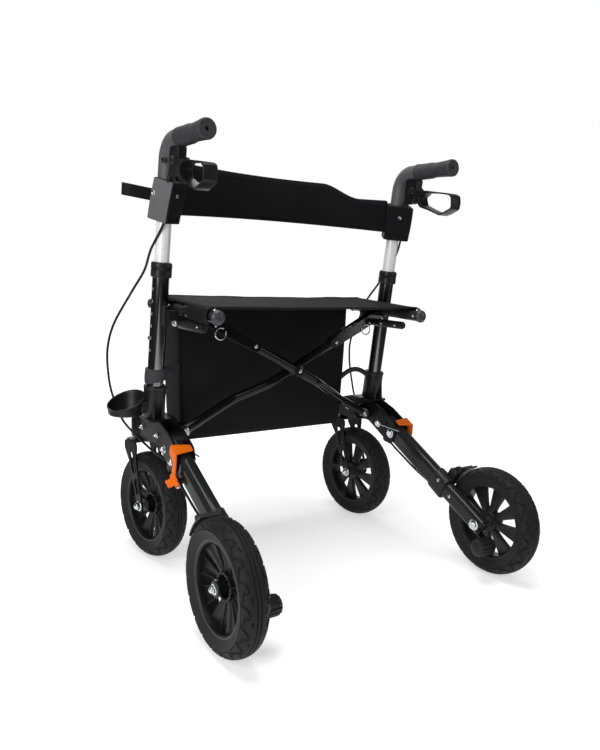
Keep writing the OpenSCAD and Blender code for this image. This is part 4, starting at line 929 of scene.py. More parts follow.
def cross_tube(plane_y):
    """One tube of the scissor with its yoke, drawn down to the right from the pivot and then sloped."""
    shift = LOW_PIVOT.y - plane_y
    angle = math.radians(BEND)
    run = (shift - 2 * BEND_R * (1 - math.cos(angle))) / math.sin(angle)
    far = BEND_AT + 2 * BEND_R * math.sin(angle) + run * math.cos(angle)
    bent = np.linspace(0, angle, 8)
    path = [(-HIGH_ARM + 46, 0, 0), (-60, 0, 0)]
    path += [(BEND_AT + BEND_R * math.sin(a), BEND_R * (1 - math.cos(a)), 0) for a in bent]
    path += [(far - BEND_R * math.sin(a), shift - BEND_R * (1 - math.cos(a)), 0) for a in bent[::-1]]
    path += [(LOW_ARM - 26, shift, 0), (LOW_ARM - 8, shift, 0)]
    eye = moved(lathe([(-10.5, 11), (-9.8, 12), (9.8, 12), (10.5, 11)], 40, "Y"), to=(LOW_ARM, shift, 0))
    ring = [(-YOKE_HALF, 14.6), (1 - YOKE_HALF, 15.5), (YOKE_HALF - 1, 15.5), (YOKE_HALF, 14.6)]
    knuckle = moved(lathe(ring, 48, "Y"), to=(-HIGH_ARM, 0, 0))
    cheek = fillet([(-HIGH_ARM + 4, -12, 4), (-HIGH_ARM + 90, -12, 60), (-HIGH_ARM + 172, -10, 10),
                    (-HIGH_ARM + 172, 10, 10), (-HIGH_ARM + 90, 12, 60), (-HIGH_ARM + 4, 12, 4)])
    block = fillet([(-HIGH_ARM + 6, -10.5, 3), (-HIGH_ARM + 70, -10.5, 9), (-HIGH_ARM + 70, 10.5, 9),
                    (-HIGH_ARM + 6, 10.5, 3)])
    washer = lathe([(-12.2, 11), (-11.6, 12.5), (-9, 12.5)], 36, "Y")
    shape = joined(sweep(path, CROSS_R, 28), eye, knuckle, washer,
                   plate(cheek, [], -YOKE_HALF, -8, plane="XZ"), plate(cheek, [], 8, YOKE_HALF, plane="XZ"),
                   plate(block, [], -9, 9, plane="XZ"))
    return moved(shape, Matrix.Rotation(CROSS_SLOPE, 3, "Y"), (0, plane_y, CENTRE_Z))


def split_ring(along, below):
    """A springy steel ring through the yoke's lower edge, open by a few millimetres."""
    turns = np.linspace(math.radians(86), math.radians(408), 48)
    return sweep([(along + 12 * math.cos(a), -12.9, below + 12 * math.sin(a)) for a in turns], 1.6, 10)


def cross_bolts(plane_y, with_pivot):
    """The zinc bolts through a yoke's end, and the bolt of the scissor."""
    end_bolt, ring_screw = -HIGH_ARM + 158, -HIGH_ARM + 54
    shapes = [button_screw((end_bolt, -YOKE_HALF, 0), BACKWARD, 9),
              dome_nut((end_bolt, YOKE_HALF, 0), FORWARD, 9, 8),
              button_screw((ring_screw, -YOKE_HALF, -4), BACKWARD, 6), split_ring(-HIGH_ARM + 71, -13.2)]
    if with_pivot:
        shapes += [button_screw((0, -12, 0), BACKWARD, 9), lathe([(9, 9), (12.6, 9)], 28, "Y"),
                   dome_nut((0, 33.2, 0), FORWARD, 14, 11)]
    return moved(joined(*shapes), Matrix.Rotation(CROSS_SLOPE, 3, "Y"), (0, plane_y, CENTRE_Z))


for name, side, plane_y in (("right", 1, RIGHT_PLANE), ("left", -1, LEFT_PLANE)):
    made = piece(f"{name}_scissor_tube", mirrored(cross_tube(plane_y), side), gloss_black)
    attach(made, f"{name}_cross")
    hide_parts(f"{name}_cross_tube")
    made = piece(f"{name}_scissor_bolts", mirrored(cross_bolts(plane_y, side > 0), side), zinc)
    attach(made, f"{name}_cross")

rail_cap = [(-3, 11), (0, 11), (0, 14), (1, 14.2)]
rail_cap += [(1 + 9 * math.sin(a), max(14.2 * math.cos(a), 0.1)) for a in np.linspace(0.12, math.pi / 2, 12)]
rail_tube = lathe([(RAIL_BACK, RAIL_R), (RAIL_FRONT, RAIL_R)], 48, "Y")
RAIL_TILT = Matrix.Rotation(math.radians(2.2), 3, "X")
TILT_Y = 91


def tilted(shape):
    """A shape drawn on a level rail, set on the rail's own slope, which rises to the front."""
    low_on = np.asarray(shape[0], float) - np.array((0, TILT_Y, 0))
    return moved((low_on, shape[1]), RAIL_TILT, (RAIL_X, TILT_Y, RAIL_Z))


caps = joined(moved(lathe(rail_cap, 48, "Y"), to=(0, RAIL_FRONT, 0)),
              moved(lathe(rail_cap, 48, "Y"), Matrix.Rotation(math.pi, 3, "Z"), (0, RAIL_BACK, 0)))
rail_rivets = joined(*[button_screw((0, y, RAIL_R), (0, 0, 1), 7) for y in (RAIL_BACK + 12, RAIL_FRONT - 8)],
                     *[button_screw((-RAIL_R, y, 0), INWARD, 7) for y in (RAIL_BACK + 10, RAIL_FRONT - 14)])
half_round = np.linspace(0.15, math.pi - 0.15, 24)
trough_arc = [(RAIL_X - 13 * math.cos(a), RAIL_Z - 13 * math.sin(a)) for a in half_round]
saddle_outline = fillet([(286, RAIL_Z - 1, 3), (286, 523.7, 3), (238, 523.7, 9), (234, RAIL_Z - 1, 3)])
saddle_outline += trough_arc


def half_clamp(low, high, inner, outer):
    """The saddle's clamp: half a ring on the upright's inner side."""
    turns = np.linspace(math.pi / 2, 3 * math.pi / 2, 25)
    rings = []
    for height, radius in ((low, outer - 1), (low + 1, outer), (high - 1, outer), (high, outer - 1)):
        outline = [(radius * math.cos(t), radius * math.sin(t)) for t in turns]
        outline += [(inner * math.cos(t), inner * math.sin(t)) for t in reversed(turns)]
        rings.append([on_upright(height, a, b) for a, b in outline])
    return loft(rings)


knob_profile = [(14, 9), (19.5, 9.4), (22, 7.8), (23.4, 4.5), (23.8, 0.1)]
clamp_knob = moved(lathe(knob_profile, 32), turned_to((0.82, 0.57, 0)), on_upright(238))
rest_bar = moved(lathe([(24, 5), (25, 7.5), (28, 9), (132, 9)], 32, "Y"), to=(RAIL_X, 0, REST_Z))
saddle = joined(plate(saddle_outline, [], SADDLE_BACK, SADDLE_FRONT, bevel=1.0, plane="XZ"),
                half_clamp(198.3, 237.3, 17.1, 21.6), clamp_knob, rest_bar)
saddle_screws = joined(
    dome_nut((271, SADDLE_BACK, 520), BACKWARD, 9, 8), button_screw((RAIL_X + 8.4, 38, 520), (1, 0, 0.35), 7),
    *[button_screw((RAIL_X - 9, y, REST_Z), INWARD, 7) for y in (44, 92)])
for name, side in SIDES:
    for part, shape, material, body, node, slot in (
            ("rail_tube", tilted(rail_tube), gloss_black, "rail", "seat_rail", "frame_black"),
            ("rail_caps", tilted(caps), cap_grey, "rail", None, "plastic_graphite"),
            ("rail_rivets", tilted(rail_rivets), zinc, "rail", None, "zinc"),
            ("saddle", saddle, satin_black, "frame", "seat_saddle", "plastic_black"),
            ("saddle_screws", saddle_screws, zinc, "frame", None, "zinc")):
        made = piece(f"{name}_{part}", mirrored(shape, side), material)
        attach(made, f"{name}_{body}")
        if node:
            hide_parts(f"{name}_{node}")


# Handles: a bright anodised tube that slides in the upright, with a moulded post bent back to the grip.
# A black housing under the bend holds the brake's loop lever and the cable's adjuster.
# The rubber grip is pushed onto the end of the post's bar.
UP_X = 294
GRIP_Z = 866.142
POST_BEND = Vector((UP_X, 71.8, 826.1))
POST_BEND_R = 40
POST_R = 17
GRIP_RINGS, RING_PITCH = 5, 8.2
LEVER_PIN = pivot("right_brake")
bright = finish("bright_anodised", (0.92, 0.915, 0.93), 0.26, 500, 0.012, mottle=0.03, metallic=0.1,
                shine=0.5)
grip_black = finish("grip_rubber", (0.046, 0.045, 0.049), 0.5, 1500, 0.08, mottle=0.12, shine=0.25, edge_scuff_and_highlight=0.02)


def fluted_tube():
    """The telescopic tube, with fine grooves drawn along it."""
    turns = np.linspace(0, 2 * math.pi, 144, endpoint=False)
    grooves = np.arange(0.5, 6.3, math.pi / 3)
    near = np.min([np.abs((turns - g + math.pi) % (2 * math.pi) - math.pi) for g in grooves], axis=0)
    radius = 14.75 - 0.45 * np.clip(1 - near / 0.07, 0, 1)
    section = [(r * math.cos(t), r * math.sin(t)) for r, t in zip(radius, turns)]
    return loft([[on_upright(h, a, b) for a, b in section] for h in (136, 300, 420, 498)])


post_turns = np.linspace(math.radians(7.1), math.pi / 2, 18)
post_path = [on_upright(h) for h in (466, 480, 497, 510)]
for a in post_turns:
    post_path.append(POST_BEND + Vector((0, POST_BEND_R * math.cos(a), POST_BEND_R * math.sin(a))))
post_path += [Vector((UP_X, y, GRIP_Z)) for y in (64, 56, 51.9)]
post = sweep(post_path, [POST_R - 1] + [POST_R] * (len(post_path) - 1), 48)
housing_side = [(46, 816, 6), (56, 796, 5), (82, 796, 5), (84, 826, 8), (80, 854, 8), (60, 853, 6),
                (41, 849, 4), (43, 832, 3)]
adjuster = lathe([(-2, 5.2), (8, 5.2), (8.4, 4.2), (16, 4.2), (16.6, 3.2), (24, 3.2), (24.4, 2.6)], 24)
outer_boss = [(12, 8.5), (16.5, 8.5), (18, 7.6), (18.2, 4.4), (16.4, 4), (16.4, 0.1)]
inner_boss = [(-18.2, 0.1), (-18, 7.6), (-16.5, 8.5), (-12, 8.5)]
lever_boss = joined(plate(fillet(housing_side), [], UP_X - 9, UP_X + 9, bevel=2),
                    button_screw((UP_X + POST_R - 2.4, 94, 829), (1, -0.4, 0), 11),
                    moved(lathe(outer_boss, 32), to=LEVER_PIN), moved(lathe(inner_boss, 32), to=LEVER_PIN),
                    moved(adjuster, turned_to((0.12, 0.26, -0.96)), (UP_X + 4, 84, 811)))
grip_profile = [(51.8, 14), (51.6, 17.4), (50.4, 18.4), (45, 18.4), (43.4, 17.2)]
for k in range(GRIP_RINGS):
    middle = 37.5 - RING_PITCH * k
    grip_profile += [(middle + 3.4, 16.4), (middle + 2, 17.4), (middle, 17.8), (middle - 2, 17.4),
                     (middle - 3.4, 16.4)]
grip_profile += [(-3, 16.6), (-10, 16.4), (-12, 15.2), (-15, 15.0), (-17, 16.4), (-26, 16.8), (-40, 17.4),
                 (-52, 18.3), (-56, 18.5), (-58.6, 18.0), (-60, 16.4), (-60.2, 14), (-59.4, 12.5),
                 (-59.2, 4.2), (-56, 3.6), (-50, 3.5), (-50, 0.1)]
grip = moved(lathe(grip_profile, 64, "Y"), to=(UP_X, 0, GRIP_Z))
lever_outer = fillet([(-6, 2, 4), (-50, -3, 60), (-117, -13, 10), (-127, -18, 8), (-130, -32, 20),
                      (-127, -47, 8), (-104, -56, 8), (-91, -59, 6), (-58, -47, 20), (-28, -38, 12),
                      (-11, -18, 6)])
lever_inner = fillet([(-25, -15.5, 5), (-40, -6.8, 8), (-78, -10, 40), (-117, -17, 6), (-124, -23, 6),
                      (-125.5, -44, 6), (-104, -52.4, 6), (-91, -55.2, 5), (-57, -42.5, 12), (-31, -32, 8)])
lever = joined(plate(lever_outer, [lever_inner], -14, 14, bevel=1.6),
               plate(fillet([(-16, -8, 3), (2, -8, 6), (4, 6, 6), (-14, 7, 3)]), [], -8.6, 8.6, bevel=1))
for name, side in SIDES:
    for part, shape, material, body, node, slot in (
            ("bright_tube", fluted_tube(), bright, "handle", "handle_tube", "bright_tube"),
            ("post", post, graphite, "handle", "handle_post", "plastic_graphite"),
            ("lever_boss", lever_boss, satin_black, "handle", None, "plastic_black"),
            ("grip_sleeve", grip, grip_black, "handle", "grip", "grip_rubber"),
            ("lever_loop", moved(lever, to=LEVER_PIN), satin_black, "lever", "brake_lever", "plastic_black")):
        made = piece(f"{name}_{part}", mirrored(shape, side), material)
        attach(made, f"{name}_{body}")
        if node:
            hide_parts(f"{name}_{node}")
    paint(f"{name}_height_button", zinc)


# Brake cables: a wire in a black sleeve, from the brake's housing down past the seat to the bracket's stop.
# A second length runs from that stop along the rear leg into the guard, where it pulls the shoe.
CABLE_R = 2.5
cable_black = finish("cable_sleeve", (0.009, 0.009, 0.0095), 0.34, 1600, 0.04, shine=0.25)
upper_runs = {
    "left": [(0, 88, 807), (2, 100, 770), (8, 106, 716), (20, 142, 664), (16, 188, 622), (28, 230, 575),
             (52, 270, 506), (59, 290, 450), (59, 285, 397), (58, 262, 356), (49, 225, 308), (28, 192, 276),
             (12, 145, 254), (-2, 112, 242), (-6, 100, 234)],
    "right": [(0, 88, 807), (2, 100, 770), (8, 106, 716), (20, 142, 664), (12, 182, 610), (6, 222, 562),
              (8, 248, 518), (10, 283, 456), (14, 290, 403), (20, 284, 349), (25, 270, 300), (24, 222, 270),
              (12, 145, 254), (-2, 112, 242), (-6, 100, 234)]}
lower_run = [(15.5, -38), (-4, -40), (-40, -39), (-85, -37), (-130, -32), (-152, -27), (-163.8, -26)]


def smooth(points, steps=10):
    """A smooth curve through the points."""
    points = [Vector(p) for p in points]
    path = []
    for i in range(len(points) - 1):
        a, b, c, d = points[max(i - 1, 0)], points[i], points[i + 1], points[min(i + 2, len(points) - 1)]
        for k in range(steps):
            t = k / steps
            path.append(b + (c - a + (a * 2 - b * 5 + c * 4 - d + ((b - c) * 3 + d - a) * t) * t) * (t / 2))
    return path + [points[-1]]


for name, side in SIDES:
    run = [(UP_X + x, y, z) for x, y, z in upper_runs[name]]
    made = piece(f"{name}_brake_cable", mirrored(sweep(smooth(run), CABLE_R, 14), side), cable_black)
    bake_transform(made)
    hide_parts(f"{name}_upper_cable")
    run = [(LEG_X + 6, *on_leg(a, b)) for a, b in lower_run]
    made = piece(f"{name}_leg_cable", mirrored(sweep(smooth(run), CABLE_R, 14), side), cable_black)
    start, end = [[side * 0.286] + [MM * v for v in on_leg(along, -38)] for along in (14, -50)]
    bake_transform(made)
    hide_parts(f"{name}_lower_cable")


# Sling seat: one sheet of coated black canvas, hemmed round both rails and bound along its two free edges.
# It hangs a little between the rails; the hems are cut away where the yokes and saddles hold the rails.
SEAT_BACK, SEAT_FRONT = -6, 204
SEAT_SAG = 2
SEAT_RISE = 0.05
HEM_R = 18.4
HEM_REACH = 19
HEM_FROM = 0.86
SEAT_THICK = 2.6


def canvas(name, colour, thread, depth, roughness, sheen, mottle=0.22, shine=0.12):
    """Woven cloth: threads over and under in the bump, a faded mottle, and a soft sheen."""
    material = bpy.data.materials.new(name)
    tree = nodes_of(material)
    place = add_node(tree, "ShaderNodeTexCoord").outputs["Object"]
    axes = add_node(tree, "ShaderNodeSeparateXYZ", {0: place})
    pitch = 2 * math.pi / (thread * MM)
    rising = sum_node(tree, "ADD", axes.outputs[1], axes.outputs[2])
    warp = sum_node(tree, "SINE", sum_node(tree, "MULTIPLY", axes.outputs[0], pitch))
    weft = sum_node(tree, "SINE", sum_node(tree, "MULTIPLY", rising, pitch))
    over = sum_node(tree, "MULTIPLY", warp, weft)
    slow = add_node(tree, "ShaderNodeTexNoise", {
        "Vector": place, "Scale": 9.0, "Detail": 6.0, "Roughness": 0.65})
    fuzz = add_node(tree, "ShaderNodeTexNoise", {"Vector": place, "Scale": 420.0, "Detail": 3.0})
    rough_thread = sum_node(tree, "ADD", over, fuzz.outputs[0])
    dark = [c * (1 - mottle) for c in colour] + [1]
    pale = [c * (1 + mottle) for c in colour] + [1]
    tone = add_node(tree, "ShaderNodeMix", {0: slow.outputs[0], 6: dark, 7: pale}, data_type="RGBA")
    lifted = add_node(tree, "ShaderNodeMapRange", {
        "Value": over, "From Min": -1.0, "To Min": 0.86, "To Max": 1.14})
    shade = add_node(tree, "ShaderNodeVectorMath", {0: tone.outputs[2], 1: lifted.outputs[0]},
                     operation="MULTIPLY")
    gloss = add_node(tree, "ShaderNodeMapRange", {
        "Value": fuzz.outputs[0], "To Min": roughness - 0.06, "To Max": roughness + 0.06})
    bump = add_node(tree, "ShaderNodeBump", {
        "Height": rough_thread, "Strength": 0.6, "Distance": depth * MM})
    surface = add_node(tree, "ShaderNodeBsdfPrincipled", {
        "Base Color": shade.outputs[0], "Roughness": gloss.outputs[0], "Normal": bump.outputs[0],
        "Sheen Weight": sheen, "Sheen Roughness": 0.5, "Specular IOR Level": shine})
    add_node(tree, "ShaderNodeOutputMaterial", {"Surface": surface.outputs[0]})
    return material


def seat_point(share, y):
    """A place on the middle of the seat's cloth: share runs from -1, under the left rail's hem, to 1."""
    side, part = (1 if share >= 0 else -1), abs(share)
    held = 1 / (1 + math.exp((y - 66) / 2.0)) + 1 / (1 + math.exp((168 - y) / 2.0))
    wrap = math.radians(36 + 92 * min(held, 1.0))
    y -= HEM_REACH * part ** 8 * max(0.0, (60 - y) / (60 - SEAT_BACK))
    rise = (y - TILT_Y) * SEAT_RISE
    if part > HEM_FROM:
        turn = math.pi / 2 - wrap * (part - HEM_FROM) / (1 - HEM_FROM)
        return Vector((side * (RAIL_X + HEM_R * math.cos(turn)), y, RAIL_Z + rise + HEM_R * math.sin(turn)))
    x = RAIL_X * part / HEM_FROM
    hang = SEAT_SAG * (1 - (x / RAIL_X) ** 2)
    pucker = 1.5 * noise.noise(Vector((side * x / 70, y / 34, 1.7)))
    pucker += 0.5 * noise.noise(Vector((side * x / 22, y / 60, 4.2)))
    level_z = RAIL_Z + rise + HEM_R - hang
    return Vector((side * x, y, level_z + pucker * math.sin(math.pi * part / HEM_FROM) ** 0.5))


def two_sided(rows, thick):
    """A sheet of cloth with its thickness, over rows of points on its middle."""
    grid = np.array(rows, float)
    along = np.gradient(grid, axis=0)
    across = np.gradient(grid, axis=1)
    normal = np.cross(along, across)
    normal /= np.linalg.norm(normal, axis=2, keepdims=True) + 1e-12
    count = grid.shape[1]
    upper, lower = grid + normal * thick / 2, grid - normal * thick / 2
    rings = [np.vstack([u, l[::-1]]) for u, l in zip(upper, lower)]
    faces = ring_faces(len(rings), 2 * count, caps=False)
    last = (len(rings) - 1) * 2 * count
    for j in range(count - 1):
        faces.append((j, j + 1, 2 * count - 2 - j, 2 * count - 1 - j))
    for j in range(count - 1):
        faces.append(tuple(last + k for k in (2 * count - 1 - j, 2 * count - 2 - j, j + 1, j)))
    return facing_out((np.vstack(rings), faces))


def stitches(path, pitch=5.5, length=3.6, radius=0.45):
    """A row of thread stitches lying on a path."""
    path = [Vector(p) for p in path]
    shapes, walked, due = [], 0.0, 0.0
    for a, b in zip(path[:-1], path[1:]):
        span = (b - a).length
        while due <= walked + span and span > 1e-6:
            at = a + (b - a) * ((due - walked) / span)
            way = (b - a).normalized() * length / 2
            thread = [at - way, at - way * 0.6, at + way * 0.6, at + way]
            shapes.append(sweep(thread, [0.12, radius, radius, 0.12], 6))
            due += pitch
        walked += span
    return joined(*shapes)


seat_canvas = canvas("seat_canvas", (0.0115, 0.0115, 0.0124), 1.3, 0.10, 0.7, 0.01, shine=0.03)
binding_black = canvas("edge_binding", (0.010, 0.010, 0.011), 0.9, 0.08, 0.6, 0.03)
thread_black = canvas("sewing_thread", (0.022, 0.022, 0.024), 0.5, 0.05, 0.5, 0.04)
shares = np.linspace(-1, 1, 121)
seat_rows = [[seat_point(u, y) for u in shares] for y in np.linspace(SEAT_BACK, SEAT_FRONT, 85)]
seat = piece("seat_sheet", two_sided(seat_rows, SEAT_THICK), seat_canvas, sharp=60)
edge_paths = [[seat_point(u, y) for u in np.linspace(-1, 1, 161)] for y in (SEAT_BACK + 1, SEAT_FRONT - 1)]
seat_edges = piece("seat_binding", joined(*[sweep(path, 2.5, 10) for path in edge_paths]), binding_black)
on_top = Vector((0, 0, SEAT_THICK / 2))
seam_paths = []
for y in (SEAT_BACK + 9, SEAT_FRONT - 9):
    seam_paths.append([seat_point(u, y) + on_top for u in np.linspace(-0.85, 0.85, 90)])
for u in (-0.8, 0.8, -0.775, 0.775):
    seam_paths.append([seat_point(u, y) + on_top for y in np.linspace(SEAT_BACK + 4, SEAT_FRONT - 4, 60)])
seat_seams = piece("seat_stitching", joined(*[stitches(p) for p in seam_paths]), thread_black)
for made in (seat, seat_edges, seat_seams):
    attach(made, "left_rail")
    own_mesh(made)
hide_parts("seat_fabric")


# Backrest: a padded band of black cloth that bows forward between two sleeves, lower towards its right end.
# The sleeves are sewn flat panels closed by snaps round the handle posts.
# A webbing loop on the left sleeve holds a cane.
BAND_HALF = 271
BAND_Y, BAND_BOW = 124.6, 62
BAND_LOW, BAND_ARCH = 732, 9
BAND_END_TOP, BAND_RAISED = 805.3, 28.7
RIM_SEWN = 7
back_cloth = canvas("backrest_cloth", (0.0085, 0.0085, 0.0095), 0.9, 0.05, 0.55, 0.02, shine=0.08)
# The sleeves' outer panels are painted light: a paler copy of the black cloth stands in for the key light on
# those faces.
painted_light_panel_cloth = canvas("sleeve_panel_painted_light", (0.13, 0.13, 0.139), 0.9, 0.05, 0.55, 0.03)
webbing = canvas("cane_loop_webbing", (0.010, 0.010, 0.011), 2.2, 0.2, 0.55, 0.03)


def ease(low, high, v):
    """0 below low, 1 above high, and smooth between them."""
    t = min(max((v - low) / (high - low), 0), 1)
    return t * t * (3 - 2 * t)


def band_middle(u):
    """The band's middle line and its half-height at a share of its half-width."""
    bow = 1 - u * u
    low = BAND_LOW + BAND_ARCH * bow
    fall = ease(0.42, 0.76, u) if u > 0 else ease(0.86, 1.0, -u)
    high = BAND_END_TOP + BAND_RAISED * (1 - fall)
    return Vector((u * BAND_HALF, BAND_Y + BAND_BOW * bow, (low + high) / 2)), (high - low) / 2


def band_shape(half_thick, inset):
    """The band before it is filled: a thin closed form with its rim pulled in."""
    rings = []
    turns = np.linspace(0, 2 * math.pi, 40, endpoint=False)
    for u in np.linspace(-1, 1, 71):
        centre, half = band_middle(u)
        forward = Vector((2 * BAND_BOW * u / BAND_HALF, 1, 0)).normalized()
        ring = []
        for a in turns:
            out = math.copysign(abs(math.sin(a)) ** 0.75, math.sin(a)) * (half - inset)
            depth = math.copysign(abs(math.cos(a)) ** 0.6, math.cos(a)) * half_thick
            ring.append(centre + Vector((0, 0, out)) + forward * depth)
        rings.append(ring)
    return loft(rings)


def fill_with_air(thing, voxel, pressure, cap, frames=20):
    """The cloth is sewn as it lies and swells; no point moves further than the cap. The result is kept."""
    remesh = thing.modifiers.new("skin", "REMESH")
    remesh.mode = "VOXEL"
    remesh.voxel_size = voxel * MM
    bpy.context.view_layer.objects.active = thing
    bpy.ops.object.modifier_apply(modifier=remesh.name)
    rest = np.array([v.co for v in thing.data.vertices], float)
    sewn = thing.vertex_groups.new(name="sewn")
    for v in thing.data.vertices:
        centre, half = band_middle(min(max(v.co.x / (BAND_HALF * MM), -1), 1))
        if abs(v.co.x) > (BAND_HALF - 16) * MM or abs(v.co.z / MM - centre.z) > half - RIM_SEWN:
            sewn.add([v.index], 1.0, "REPLACE")
    swell = thing.modifiers.new("swell", "CLOTH")
    swell.settings.use_pressure = True
    swell.settings.uniform_pressure_force = pressure
    swell.settings.vertex_group_mass = "sewn"
    swell.settings.effector_weights.gravity = 0
    swell.settings.tension_stiffness = 18
    swell.settings.compression_stiffness = 10
    swell.settings.bending_stiffness = 0.4
    for step in range(1, frames + 1):
        scene.frame_set(step)
    bpy.ops.object.modifier_apply(modifier=swell.name)
    scene.frame_set(1)
    now = np.array([v.co for v in thing.data.vertices], float)
    step = now - rest
    far = np.linalg.norm(step, axis=1, keepdims=True)
    kept = rest + step * np.minimum(1, cap * MM / np.maximum(far, 1e-9))
    thing.data.vertices.foreach_set("co", kept.ravel())
    soften = thing.modifiers.new("smooth", "SUBSURF")
    soften.levels = soften.render_levels = 1
    bpy.ops.object.modifier_apply(modifier=soften.name)
    thing.data.shade_smooth()


band = piece("backrest_band", band_shape(half_thick=6.5, inset=-0.5), back_cloth, sharp=70)
fill_with_air(band, voxel=5, pressure=4.0, cap=5)
SLEEVE_LOW, SLEEVE_HIGH = 400, 480
SLEEVE_IN = -25
SLEEVE_OUT = {"left": 19.5, "right": 32}
SLEEVE_TURN = math.radians(30)
SLEEVE_SLANT = 0.15


def on_sleeve(height, along, out):
    """A place on a sleeve, turned on its post: along its outer panel, backward, and out through it."""
    c, s = math.cos(SLEEVE_TURN), math.sin(SLEEVE_TURN)
    return on_upright(height - SLEEVE_SLANT * along, out * c - along * s, -out * s - along * c)


def panel_ends(height):
    """Where the outer panel starts and ends at a height: it leans forward to its foot."""
    share = (height - SLEEVE_LOW) / (SLEEVE_HIGH - SLEEVE_LOW)
    return -27.6 + 12 * share, 21 + 13 * share


def sleeve_ring(height, grow, out):
    """The sleeve's section at a height, grown or drawn in a little, with its outer panel so far out."""
    front, back = panel_ends(height)
    corners = [(front - grow, SLEEVE_IN, 8), (back + grow, SLEEVE_IN, 8), (back + grow, out + grow, 5),
               (front - grow, out + grow, 5)]
    return [on_sleeve(height, a, b) for a, b in fillet(corners, 8)]


def outer_panel(out):
    """The sleeve's outer face: a sewn-on panel whose paler cloth is painted light, standing in for the key
    light on that face.
    """
    rows = []
    for share in np.linspace(0, 1, 15):
        height = SLEEVE_LOW + 1 + share * (SLEEVE_HIGH - SLEEVE_LOW - 2)
        front, back = panel_ends(height)
        places = np.linspace(front + 2.5, back - 2.5, 15)
        rows.append([on_sleeve(height, a, out + 0.8 + 1.2 * math.sin(math.pi * share)) for a in places])
    return two_sided(rows, 1.0)


def sleeve(out):
    """A sewn sleeve round the handle post: flat panels with a soft bulge, turned hems at both ends."""
    hems = ((0, -1.5), (0.8, 0), (9, 0.3), (10.5, -0.7), (12, 0.1), (26, 0.8), (42, 1.0), (58, 0.8),
            (68, 0.1), (69.5, -0.7), (71, 0.3), (79.2, 0), (80, -1.5))
    return loft([sleeve_ring(SLEEVE_LOW + rise, grow, out) for rise, grow in hems])


def snap(at, axis):
    """A press stud: a low ring with a dimple in its cap."""
    stud = lathe([(-0.5, 4), (0.6, 4), (1.2, 3.5), (1.4, 2.9), (1.0, 2.1), (0.9, 0.1)], 28)
    return moved(stud, turned_to(axis), at)


def stitch_round(height, out):
    """A row of stitches round a sleeve's hem."""
    outline = sleeve_ring(height, 0.4, out)
    return stitches(outline + outline[:1], 4.6, 3.0, 0.4)


panel_out = on_sleeve(0, 0, 1) - on_sleeve(0, 0, 0)
panel_back = on_sleeve(0, 1, 0) - on_sleeve(0, 0, 0)


def band_edge(sign):
    """The piping sewn along the band's upper or lower rim."""
    path = []
    for u in np.linspace(-0.985, 0.985, 120):
        centre, half = band_middle(u)
        path.append(centre + Vector((0, 0, sign * (half - 2.2))))
    return sweep(path, 2.8, 10)


def band_stitch(sign):
    """A row of stitches a little inside the rim, on the band's back and on its front."""
    rows = []
    for face in (-1, 1):
        path = []
        for u in np.linspace(-0.97, 0.97, 120):
            centre, half = band_middle(u)
            path.append(centre + Vector((0, face * 6.0, sign * (half - 9))))
        rows.append(stitches(path, 5.0, 3.4, 0.4))
    return joined(*rows)


LOOP_R = 14
LOOP_AHEAD = 21
LOOP_LOW, LOOP_HIGH = 437, 460
half_turn = np.linspace(-math.pi / 2, math.pi / 2, 49)
loop_end = [(42 + LOOP_R * math.cos(a), LOOP_R * math.sin(a)) for a in half_turn]
loop_path = [(-16, -LOOP_R), (18, -LOOP_R), *loop_end, (18, LOOP_R), (-16, LOOP_R)]
loop_strip = ribbon(loop_path, 2.6)
loop_rings = []
for height, share in ((LOOP_LOW, 0.994), (LOOP_LOW + 1, 1), (LOOP_HIGH - 1, 1), (LOOP_HIGH, 0.994)):
    loop_rings.append([on_upright(height + 0.1 * a, 22 + a, b * share + LOOP_AHEAD) for a, b in loop_strip])
cane_loop = piece("cane_loop", mirrored(loft(loop_rings), -1), webbing)
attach(cane_loop, "left_handle")
band_trim = piece("backrest_piping", joined(band_edge(1), band_edge(-1)), binding_black)
band_seams = piece("backrest_stitching", joined(band_stitch(1), band_stitch(-1)), thread_black)
for made in (band, band_trim, band_seams):
    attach(made, "left_handle")
    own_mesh(made)
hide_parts("backrest")
for name, side in SIDES:
    out = SLEEVE_OUT[name]
    hem_rows = joined(*[stitch_round(h, out) for h in (SLEEVE_LOW + 10.5, SLEEVE_HIGH - 10.5)])
    snaps = joined(snap(on_sleeve(450, -12, out + 2.4), panel_out), snap(on_sleeve(455, 29.8, 4), panel_back))
    for part, shape, material, slot in (
            ("sleeve", sleeve(out), back_cloth, "cloth_black"),
            ("sleeve_panel", outer_panel(out), painted_light_panel_cloth, "cloth_black"),
            ("sleeve_stitching", hem_rows, thread_black, "cloth_black"),
            ("sleeve_snaps", snaps, zinc, "zinc")):
        made = piece(f"{name}_{part}", mirrored(shape, side), material)
        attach(made, f"{name}_handle")


# Shopping bag: a deep open bag of black cloth ahead of the cross frame, sewn from panels with bound edges.
# A strap round the left upright and a bowed one at the right foot socket hold its sides.
# Its floor and its panels sag under their own weight.
BAG_HALF = 224
BAG_SHIFT = -7
BAG_BACK, BAG_FRONT = 186, 298
BAG_MIDDLE = (BAG_BACK + BAG_FRONT) / 2
BAG_TOP, BAG_LOW = 547, 258
CORNER_POINTS = 11
bag_cloth = canvas("bag_cloth", (0.009, 0.009, 0.0098), 0.8, 0.05, 0.6, 0.03)


